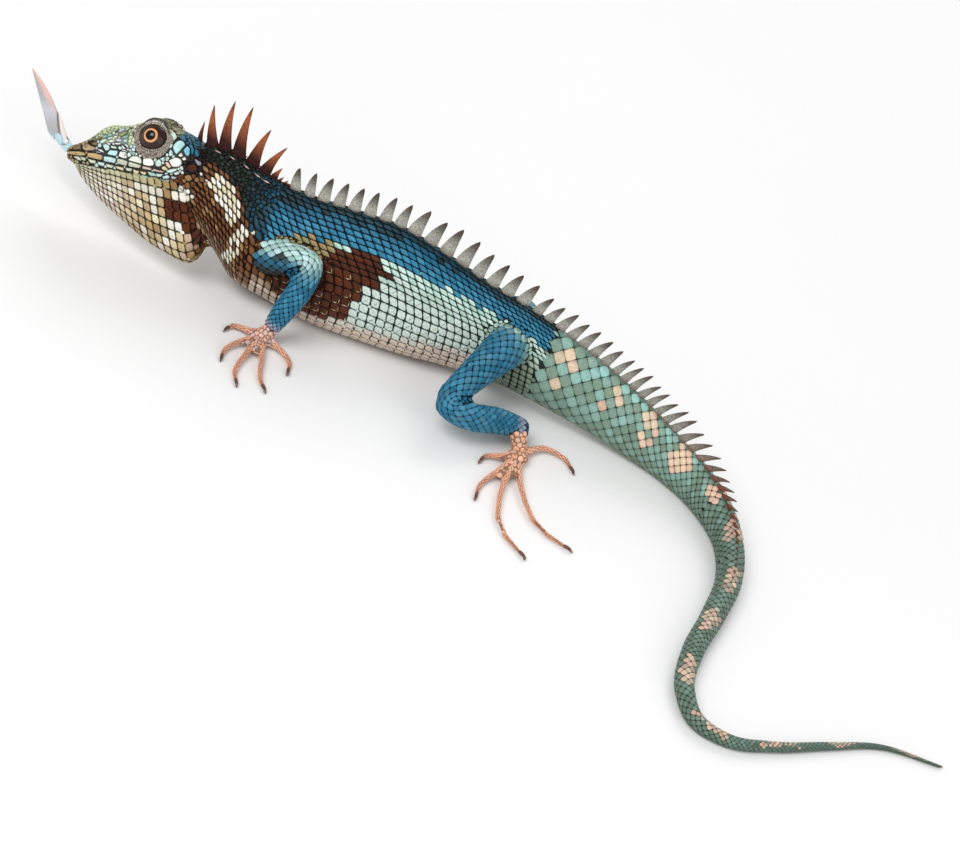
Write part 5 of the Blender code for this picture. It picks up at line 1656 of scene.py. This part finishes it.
def lay_lid(tree, side, coat, draw):
    """Granules in rings on a lid, and three rows of long plates over the eye."""
    rings = lid_rings(tree, side)
    steps = np.linalg.norm(np.diff(rings, axis=0), axis=2).mean(axis=1)
    places = np.concatenate([[0.0], np.cumsum(steps)])
    wrap = Wrap(places, rings, None, depth=0.0)
    if (wrap.normals[2].mean(axis=0) @ eye_axes(side)[1]) < 0:
        wrap.normals = -wrap.normals
    cells, rows = [], []
    along, ring = 0.12, 0
    while along < places[-1] - 0.05:
        count = int(44 + along * 10)
        for k in range(count):
            share = (k + 0.5 * (ring % 2) + draw.uniform(-0.2, 0.2)) / count
            place = along + draw.uniform(-0.04, 0.04)
            run, rise = math.cos(2 * math.pi * share), math.sin(2 * math.pi * share)
            if rise > 0.3 and along > places[-1] * BROW_START:
                continue
            cells.append((place, share, LID_GRANULE, 0.0, 0.0, 0.45 / count))
            body = lid_tint(run, rise, draw)
            rows.append((body, body * 0.7, body))
        along += LID_STEP
        ring += 1

    def unwrap(own):
        return np.stack([np.mod(own[:, 1], 1.0) * 0.4 + (0.05 if side > 0 else 0.55),
                         0.9 + own[:, 0] * 0.02], axis=1)

    lay_cells(coat, wrap, cells, outline_shape(FINE, 2.2), tint_rows(rows), unwrap, gap=0.03,
              height=0.08, lift=0.0, keel=0.0, ridge=(0.3, 0.0))
    cells, rows = [], []
    for row, tone in enumerate(("brow", "olive", "cream")):
        place = places[-1] * (BROW_START + 0.1 + 0.2 * row)
        for k in range(BROW_PLATES):
            share = BROW_FROM + BROW_SPAN * (k + 0.5 + 0.3 * (row % 2)) / BROW_PLATES
            cells.append((place, share, places[-1] * 0.1, 0.0, 0.0, BROW_SPAN / BROW_PLATES / 2))
            body = mixed(tone, "moss", draw.random() * 0.5) * draw.uniform(0.8, 1.1)
            rows.append((body, TINTS["ink"] + body * 0.1, body))
    lay_cells(coat, wrap, cells, outline_shape(FINE, 3.0), tint_rows(rows), unwrap, gap=0.06,
              height=0.12, lift=0.0, keel=0.0, ridge=(0.3, 0.0))


def make_lids(tree, material):
    """The skin of both lids, closed on its inner side."""
    bm = bmesh.new()
    shade = (*TINTS["lid"] * 0.4, 1.0)
    for side in (1, -1):
        rings = lid_rings(tree, side)
        below = eye_axes(side)[1] * 0.5
        loft(bm, list(rings) + [rings[-1] - below, rings[0] - below], [shade] * (LID_ROWS + 2),
             hollow=True)
    finish_piece(make_object("lids", bm), material, "head_plates")


# Ear drum, the dark spot over it and the nostril: place, radius, colours of rim and middle. The
# nostril's ink middle is painted shade standing for its opening.
DISHES = [(EAR_AT, 1.22, "ink", "rust"), (EAR_SPOT, 0.55, "ink", "ear"),
          (NOSTRIL, 0.42, "snout_pale", "ink")]


def make_ears(tree, material):
    """Drums of the ears and nostrils, each a shallow bowl with a raised rim."""
    bm = bmesh.new()
    layer = bm.verts.layers.float_color.new("coat")
    for side in (1, -1):
        for place, radius, rim, middle in DISHES:
            hit, facing = side_root(tree, place[0], place[1], side)
            turn = Vector(facing).to_track_quat("Z", "Y").to_matrix()
            made = bmesh.ops.create_uvsphere(bm, u_segments=28, v_segments=14, radius=1.0)["verts"]
            for vert in made:
                out = math.hypot(vert.co.x, vert.co.y)
                level = 0.2 * (1 - (1.5 * out - 1)**2) * (1 if vert.co.z >= 0 else -1)
                vert[layer] = (*mixed(middle, rim, out * 1.6 - 0.5), 1.0)
                spot = Vector((vert.co.x * radius, vert.co.y * radius, level))
                vert.co = hit + turn @ spot
    finish_piece(make_object("ear_drums", bm), material, "head_plates")


def blade_ring(middle, long, flat, sides=12, power=1.5):
    """Section of a blade, thick in the middle and thin at both edges."""
    angles = 2 * np.pi * np.arange(sides) / sides
    x, y = np.cos(angles), np.sin(angles)
    x = np.sign(x) * np.abs(x)**(2 / 2.4)
    y = np.sign(y) * np.abs(y)**(2 / power)
    return np.array(middle) + np.outer(x, long) + np.outer(y, flat)


def horn_across():
    """Direction across the horn, towards its front edge, seen from the head's side."""
    along = (BLADE_TIP - BLADE_FRONT).normalized()
    return Vector((along.y, -along.x, 0))


def blade_width(share):
    """Width of the horn by share of its length."""
    return BLADE_WIDTH * (1 - share**BLADE_TAPER) + BLADE_TIP_WIDTH


def blade_rings():
    """Sections of the horn from its root in the snout to its tip."""
    across = horn_across()
    plan = []
    for i in range(16):
        share = i / 16
        middle = HORN_ROOT.lerp(BLADE_FRONT - across * BLADE_WIDTH / 2, share)
        plan.append((middle, HORN_ROOT_WIDTH + (BLADE_WIDTH - HORN_ROOT_WIDTH) * share,
                     BLADE_THICK * (1 + 0.05 * min(share * 4, 1))))
    for i in range(49):
        share = i / 48
        width = blade_width(share)
        edge = BLADE_FRONT.lerp(BLADE_TIP, share)
        plan.append((edge - across * width / 2, width, BLADE_THICK * (1 - 0.72 * share)))
    turn = HEAD_AXES.T @ np.array(across)
    return [blade_ring(in_head(middle), turn * width / 2, HEAD_AXES[2] * thick / 2, 32, 1.7)
            for middle, width, thick in plan]


HORN_ROOT_TOP = 2.95  # level up to which the horn's foot is pale blue


def horn_tint(forward, up):
    """Grey blade with a pale front, a rosy rear edge near the tip and a line by the spur."""
    rise = min(max((up - BLADE_FRONT.y) / (BLADE_TIP.y - BLADE_FRONT.y), 0.0), 1.0)
    front = BLADE_FRONT.x + (BLADE_TIP.x - BLADE_FRONT.x) * rise
    back = min(max((front - forward) / blade_width(rise), 0.0), 1.0)
    body = mixed("horn", "wrist_pale", bump(rise, 0.35, 0.15) * 0.6)
    rosy = edge_between(back, 0.84 - 0.3 * rise, 0.05) * min(max(rise - 0.25, 0) * 3, 1)
    body = mixed(body, "horn_pink", rosy)
    body = mixed(body, "horn_root", edge_between(HORN_ROOT_TOP - up, 0.0, 0.05))
    spur = SPUR_TIP - SPUR_FOOT
    place = Vector((forward, up, 0.0)) - SPUR_FOOT
    share = min(max(place.dot(spur) / spur.length_squared, 0.0), 1.0)
    apart = (place - spur * share).length - SPUR_RADIUS * (1 - share)**0.8
    return mixed(body, "ink", bump(apart, 0.16, 0.13) * 0.8)


def make_horn(material):
    bm = bmesh.new()
    blade = loft(bm, blade_rings())
    across = HEAD_AXES.T @ np.array(horn_across())
    spur = []
    for i in range(12):
        share = i / 11
        middle = in_head(SPUR_FOOT + (SPUR_TIP - SPUR_FOOT) * share)
        radius = SPUR_RADIUS * (1 - share)**0.8 + 0.06
        spur.append(blade_ring(middle, across * radius, HEAD_AXES[2] * radius, 14, 2.0))
    spur = loft(bm, spur)
    layer = bm.verts.layers.float_color["coat"]
    for vert in blade:
        forward, up, _ = to_head(vert.co)
        vert[layer] = (*horn_tint(forward, up), 1.0)
    for vert in spur:
        vert[layer] = (*mixed("white", "horn_pink", 0.35), 1.0)
    finish_piece(make_object("horn_blade", bm), material, "horn", "horn")


# Plates on the horn's foot, as colour and corners: forward and up of each.
HORN_PLATES = [
    ("horn_root", (21.3, 3.05, 20.05, 2.9, 19.95, 1.8, 20.7, 2.25)),
    ("horn_root", (19.85, 3.4, 19.25, 3.1, 18.65, 2.45, 18.75, 1.15, 19.15, 1.5, 19.6, 2.35)),
    ("white", (19.75, 1.55, 19.2, 1.2, 18.7, 0.85, 18.6, 0.3, 19.3, 0.7)),
    ("white", (18.4, 2.8, 17.6, 1.95, 18.1, 1.3, 18.45, 2.0)),
]


def lay_horn_plates(roots, coat, draw):
    """The plates on the horn's foot, laid on a passing copy of the horn."""
    bm = bmesh.new()
    loft(bm, blade_rings())
    bmesh.ops.recalc_face_normals(bm, faces=bm.faces)
    mesh = bpy.data.meshes.new("horn_form")
    bm.to_mesh(mesh)
    bm.free()
    lay_drawn(tree_of(mesh), HORN_PLATES, 0.12, roots, coat, draw)
    bpy.data.meshes.remove(mesh)


def at_ridge_x(track, x):
    """Distance along the body at which the ridge passes a given x."""
    low, high = 0.0, track.knots[len(SPINE) - 1]
    for _ in range(40):
        middle = (low + high) / 2
        if ridge_point(track, middle).x < x:
            low = middle
        else:
            high = middle
    return low


def crest_plan(track):
    """Every spine as distance, length, base, lean and kind, from the nape back."""
    draw = random.Random(SEED)
    spines = [(at_ridge_x(track, x), length, base, math.radians(lean), "nape")
              for x, length, base, lean in NAPE]
    numbers, places, lengths, leans = zip(*CREST)
    steps = range(numbers[-1] + 1)
    places = np.interp(steps, numbers, places)
    for i, root in enumerate(places):
        pitch = places[i + 1] - root if i + 1 < len(places) else root - places[i - 1]
        length = float(np.interp(i, numbers, lengths)) * draw.uniform(0.95, 1.05)
        lean = math.radians(float(np.interp(i, numbers, leans)) + draw.uniform(-2.0, 2.0))
        spines.append((float(root), length, pitch * CREST_PACKING, lean, "crest"))
    return spines


# Width of a spine over its root's, by share of its length.
NAPE_WIDTHS = ((-0.2, 0.0, 0.15, 0.3, 0.45, 0.6, 0.75, 0.88, 0.97, 1.0),
               (1.1, 1.05, 0.9, 0.74, 0.6, 0.46, 0.32, 0.19, 0.08, 0.03))
CREST_WIDTHS = ((-0.2, 0.0, 0.15, 0.3, 0.45, 0.6, 0.75, 0.88, 0.96, 1.0),
                (1.0, 1.0, 0.93, 0.84, 0.74, 0.62, 0.48, 0.33, 0.18, 0.05))


def spine_tints(kind, distance, share, speck):
    """Colour of a spine by the share of its length, speck being how dark its tip is."""
    if kind == "nape":
        body = mixed("nape_root", "nape_spine", (share - 0.16) / 0.5)
        return mixed(body, "nape_root", (share - 0.78) / 0.22 * 0.8)
    grey = min(max((distance - 55) / 50, 0.0), 1.0)
    base = mixed("spine", "spine_dark", grey * 0.6)
    base = mixed(base, "spine_red", (distance - 91) / 8 * 0.6)
    tip = mixed("spine_tip", "spine_red", (distance - 91) / 12)
    foot = mixed("rust", base, 0.4 + (share + 0.02) / 0.2)
    body = mixed(foot, "spine_dark", (share - 0.3) / 0.4)
    return mixed(body, tip, (share - 0.62) / 0.35 * speck)


# Pieces of the crest: name, slot, kind of spine, and from and to which distance.
CREST_PIECES = [("nape_spines", "nape_scales", "nape", 0, math.inf),
                ("back_spines", "back_scales", "crest", 0, TAIL_START),
                ("tail_spines", "tail_base_scales", "crest", TAIL_START, math.inf)]


def make_crest(track, material):
    """Crest of nape, back and tail: thin leaves that lean and curl back."""
    draw = random.Random(SEED + 1)
    for name, slot, kind, start, end in CREST_PIECES:
        bm = bmesh.new()
        for distance, length, base, lean, own in crest_plan(track):
            if own == kind and start <= distance < end:
                spine_into(bm, track, distance, length, base, lean, own, draw)
        if kind == "nape":
            thorn_into(bm)
            prickles_into(bm, track, draw)
        finish_piece(make_object(name, bm), material, slot)


def spine_into(bm, track, distance, length, base, lean, kind, draw):
    """One spine: its root on the ridge, its blade leaning and curling back."""
    root = ridge_point(track, distance)
    side = body_frame(track, distance)[2]
    back = track.heading(distance, 1.5)
    back = (back - side * back.dot(side)).normalized()
    plumb = side.cross(back)
    if plumb.z < 0:
        plumb.negate()
    shares, widths = NAPE_WIDTHS if kind == "nape" else CREST_WIDTHS
    rings, tints = [], []
    twist = draw.uniform(-0.06, 0.06)
    speck = draw.uniform(0.7, 1.1)
    for share, width in zip(shares, widths):
        tilt = lean + BLADE_CURL * (max(share, 0.0) - 1)
        if share < 0:
            middle = root + plumb * length * share
        else:
            middle = root + (plumb * math.cos(tilt) + back * math.sin(tilt)) * length * share
        middle = middle - plumb * SCALE_DEPTH * 0.4 + side * twist * share * length
        thick = (0.62 - 0.36 * share) * min(1.0, length / 3.5)
        ring = blade_ring(middle, back * base * width / 2, side * thick / 2, 12, 1.5)
        rings.append(ring)
        tints.append((*spine_tints(kind, distance, share, speck), 1.0))
    loft(bm, rings, tints)


def thorn_into(bm):
    """The first, thin spine of the nape, which stands on the head."""
    rings, tints = [], []
    bend = Vector((-0.35, 0.0, 0.0))
    for i in range(9):
        share = i / 8
        middle = THORN_ROOT.lerp(THORN_TIP, share) + bend * math.sin(share * math.pi) * -0.4
        radius = THORN_RADIUS * (1 - share)**0.8 + 0.04
        rings.append(blade_ring(in_head(middle), HEAD_AXES[0] * radius,
                                HEAD_AXES[2] * radius * 0.7, 10, 2.0))
        tints.append((*spine_tints("nape", 0, share * 0.6, 1.0), 1.0))
    loft(bm, rings, tints)


def prickles_into(bm, track, draw):
    """Three small spikes between nape and back crest, and pale slivers under the nape's."""
    for distance, length in ((14.4, 1.1), (15.3, 0.9), (16.1, 0.7)):
        spine_into(bm, track, distance, length, 0.7, math.radians(20), "nape", draw)
    for x, *_ in NAPE[1:]:
        distance = at_ridge_x(track, x) - 0.9
        _, _, side, *_ = body_frame(track, distance)
        heading = track.heading(distance, 1.0)
        for turn in (1, -1):
            foot = ridge_point(track, distance) + side * 1.7 * turn - Vector((0, 0, 0.55))
            along = (heading + Vector((0, 0, 0.12))).normalized()
            rings, tints = [], []
            for i in range(6):
                share = i / 5
                radius = 0.12 * math.sin(math.pi * (0.12 + 0.84 * share))
                rings.append(blade_ring(foot + along * (share - 0.5) * 1.3, side * radius * 1.4,
                                        Vector((0, 0, radius)), 8, 2.0))
                tints.append((*mixed("maroon", "pink_lip", share * 1.6), 1.0))
            loft(bm, rings, tints)


def make_claws(plans, material):
    """Claws of all toes, humped and kept over the floor."""
    bm = bmesh.new()
    for _, _, palm, toes in plans:
        for toe in toes:
            _, end, tip = toe_track(palm, toe)
            heading = (tip - end).normalized()
            hump = end.lerp(tip, 0.45) + Vector((0, 0, 0.22))
            claw = Track([(*(end - heading * 0.4), CLAW_RADIUS * 0.8), (*hump, CLAW_RADIUS * 0.66),
                          (*tip, 0.05)])
            rings, tints = [], []
            for i in range(9):
                ring = tube_ring(claw, claw.length * i / 8, 10, 0.3, Vector((0, 0, 1)))
                ring[:, 2] = np.maximum(ring[:, 2], CLAW_FLOOR)
                rings.append(ring)
                tints.append((*mixed("claw", "ink", i / 12 - 0.1), 1.0))
            loft(bm, rings, tints)
    finish_piece(make_object("claws", bm), material, "horn")


SKIN_SHADE, SOFT_SHADE = 0.05, 0.36  # share of a scale's colour between scales


def tint_skin(skin, coats):
    """The skin takes the marking of the nearest scale, darker."""
    points = [point for coat in coats.values() for point in coat.roots]
    tints = [colour for coat in coats.values() for colour in coat.root_tints]
    index = KDTree(len(points))
    for i, point in enumerate(points):
        index.insert(point, i)
    index.balance()
    shades = [SOFT_SHADE if name == "digit_scales" or on_dome(point) else SKIN_SHADE
              for name, coat in coats.items() for point in coat.roots]
    colours = []
    for vert in skin.data.vertices:
        _, n, _ = index.find(vert.co)
        colours.append((*(TINTS["ink"] * 0.6 + tints[n] * shades[n]), 1.0))
    layer = skin.data.color_attributes.new("coat", "FLOAT_COLOR", "POINT")
    layer.data.foreach_set("color", np.array(colours).ravel())


def area_light(name, place, aim, size, power):
    light = bpy.data.lights.new(name, "AREA")
    light.shape = "DISK"
    light.size, light.energy = size, power
    lamp = link(bpy.data.objects.new(name, light))
    lamp.location = place
    lamp.rotation_euler = (Vector(aim) - Vector(place)).to_track_quat("-Z", "Y").to_euler()


def make_stage():
    """Pale floor, soft lights and an even sky."""
    bm = bmesh.new()
    bmesh.ops.create_grid(bm, x_segments=2, y_segments=2, size=3.0)
    mesh = bpy.data.meshes.new("floor")
    bm.to_mesh(mesh)
    bm.free()
    floor = link(bpy.data.objects.new("floor", mesh))
    material = bpy.data.materials.new("pale_floor")
    material.use_nodes = True
    tree = material.node_tree
    shader = tree.nodes["Principled BSDF"]
    shader.inputs["Roughness"].default_value = 0.85
    where = tree.nodes.new("ShaderNodeTexCoord")
    cloud = node(tree, "ShaderNodeTexNoise", Scale=6.0, Detail=3.0)
    shade = tree.nodes.new("ShaderNodeMapRange")
    shade.inputs["To Min"].default_value = 0.84
    shade.inputs["To Max"].default_value = 0.88
    paper = tree.nodes.new("ShaderNodeCombineColor")
    tree.links.new(where.outputs["Object"], cloud.inputs["Vector"])
    tree.links.new(cloud.outputs["Fac"], shade.inputs["Value"])
    for channel in ("Red", "Green", "Blue"):
        tree.links.new(shade.outputs["Result"], paper.inputs[channel])
    tree.links.new(paper.outputs["Color"], shader.inputs["Base Color"])
    mesh.materials.append(material)
    world = bpy.data.worlds.new("studio")
    world.use_nodes = True
    world.node_tree.nodes["Background"].inputs["Color"].default_value = (1.0, 1.0, 1.0, 1.0)
    world.node_tree.nodes["Background"].inputs["Strength"].default_value = 0.52
    bpy.context.scene.world = world
    centre = (0.02, -0.01, 0.01)
    area_light("key", (-0.35, -0.55, 0.75), centre, 0.6, 5.6)
    area_light("fill", (0.6, -0.5, 0.35), centre, 0.8, 1.6)
    area_light("rim", (0.1, 0.7, 0.6), centre, 0.6, 2.6)
    bpy.context.scene.view_settings.view_transform = "Standard"


CAMERA_AIM = Vector((0.027, -0.0076, 0.0))
CAMERA_RISE, CAMERA_ROLL = math.radians(35.0), math.radians(27.0)
CAMERA_DISTANCE = 0.440


def make_camera():
    """The photo's side view: a level lizard seen from the left, the picture turned."""
    back = Vector((0.0, -math.cos(CAMERA_RISE), math.sin(CAMERA_RISE)))
    upright = Vector((0.0, math.sin(CAMERA_RISE), math.cos(CAMERA_RISE)))
    level = Vector((1.0, 0.0, 0.0))
    right = level * math.cos(CAMERA_ROLL) + upright * math.sin(CAMERA_ROLL)
    up = upright * math.cos(CAMERA_ROLL) - level * math.sin(CAMERA_ROLL)
    lens = bpy.data.cameras.new("camera")
    lens.lens, lens.sensor_width, lens.sensor_fit = 100.0, 36.0, "HORIZONTAL"
    lens.clip_start = 0.01
    camera = link(bpy.data.objects.new("camera", lens))
    turn = Matrix((right, up, back)).transposed().to_4x4()
    camera.matrix_world = Matrix.Translation(CAMERA_AIM + back * CAMERA_DISTANCE) @ turn
    bpy.context.scene.camera = camera


# Coats by name, which is their slot too.
COATS = ["head_plates", "lip_plates", "pouch_scales", "nape_scales", "back_scales",
         "tail_base_scales", "tail_end_scales", "limb_scales", "digit_scales"]


def main():
    draw = random.Random(SEED)
    track = body_track()
    skin = make_skin(track)
    tree = tree_of(skin.data)
    coats = {name: Coat(name, name) for name in COATS}
    roots = Roots()
    lay_plates(tree, roots, coats, draw)
    lay_pouch(tree, roots, coats["pouch_scales"], draw)
    wrap = lay_body(track, tree, roots, coats, draw)
    plans = limb_plans()
    for number, plan in enumerate(plans):
        lay_limb(number, plan, tree, roots, coats["limb_scales"], draw)
        for k, toe in enumerate(plan[3]):
            lay_toe(number * 5 + k, plan[2], toe, tree, roots, coats["digit_scales"], draw)
    fill_skin(skin, tree, wrap, roots, coats, draw)
    for side in (1, -1):
        lay_lid(tree, side, coats["head_plates"], draw)
    lay_horn_plates(roots, coats["head_plates"], draw)
    tint_skin(skin, coats)
    hide = scale_material("hide", 0.7, 2600.0, 0.3, gloss_level=0.12)
    lid = scale_material("lid_skin", 0.6, 2600.0, 0.3, gloss_level=0.2)
    plates = scale_material("plates", 0.38, 3200.0, 0.2, 0.16)
    scales = scale_material("scales", 0.42, 3200.0, 0.25, 0.2)
    soft = scale_material("soft_scales", 0.55, 3600.0, 0.3, 0.22)
    leaf = scale_material("spine_leaf", 0.55, 4200.0, 0.5, 0.7)
    horny = scale_material("horn_and_claw", 0.35, 2600.0, 0.15, 0.12)
    wet = scale_material("wet_eye", 0.12, 2600.0, 0.0, 0.1, 0.0, 0.4)
    finishes = {"head_plates": plates, "lip_plates": plates, "pouch_scales": soft,
                "nape_scales": soft, "digit_scales": soft}
    for name, coat in coats.items():
        coat.build(finishes.get(name, scales))
    skin.data.transform(Matrix.Scale(MM, 4))
    skin.data.shade_smooth()
    finish_piece(skin, hide, "back_scales", *FLESH, *TRUNK)
    for side_name, side in (("left", 1), ("right", -1)):
        eye = make_eye(f"eye_ball_{side_name}", side)
        finish_piece(eye, wet, "eye", f"eye_{side_name}")
    make_lids(tree, lid)
    make_ears(tree, soft)
    make_horn(horny)
    make_crest(track, leaf)
    make_claws(plans, horny)
    make_camera()
    make_stage()


main()
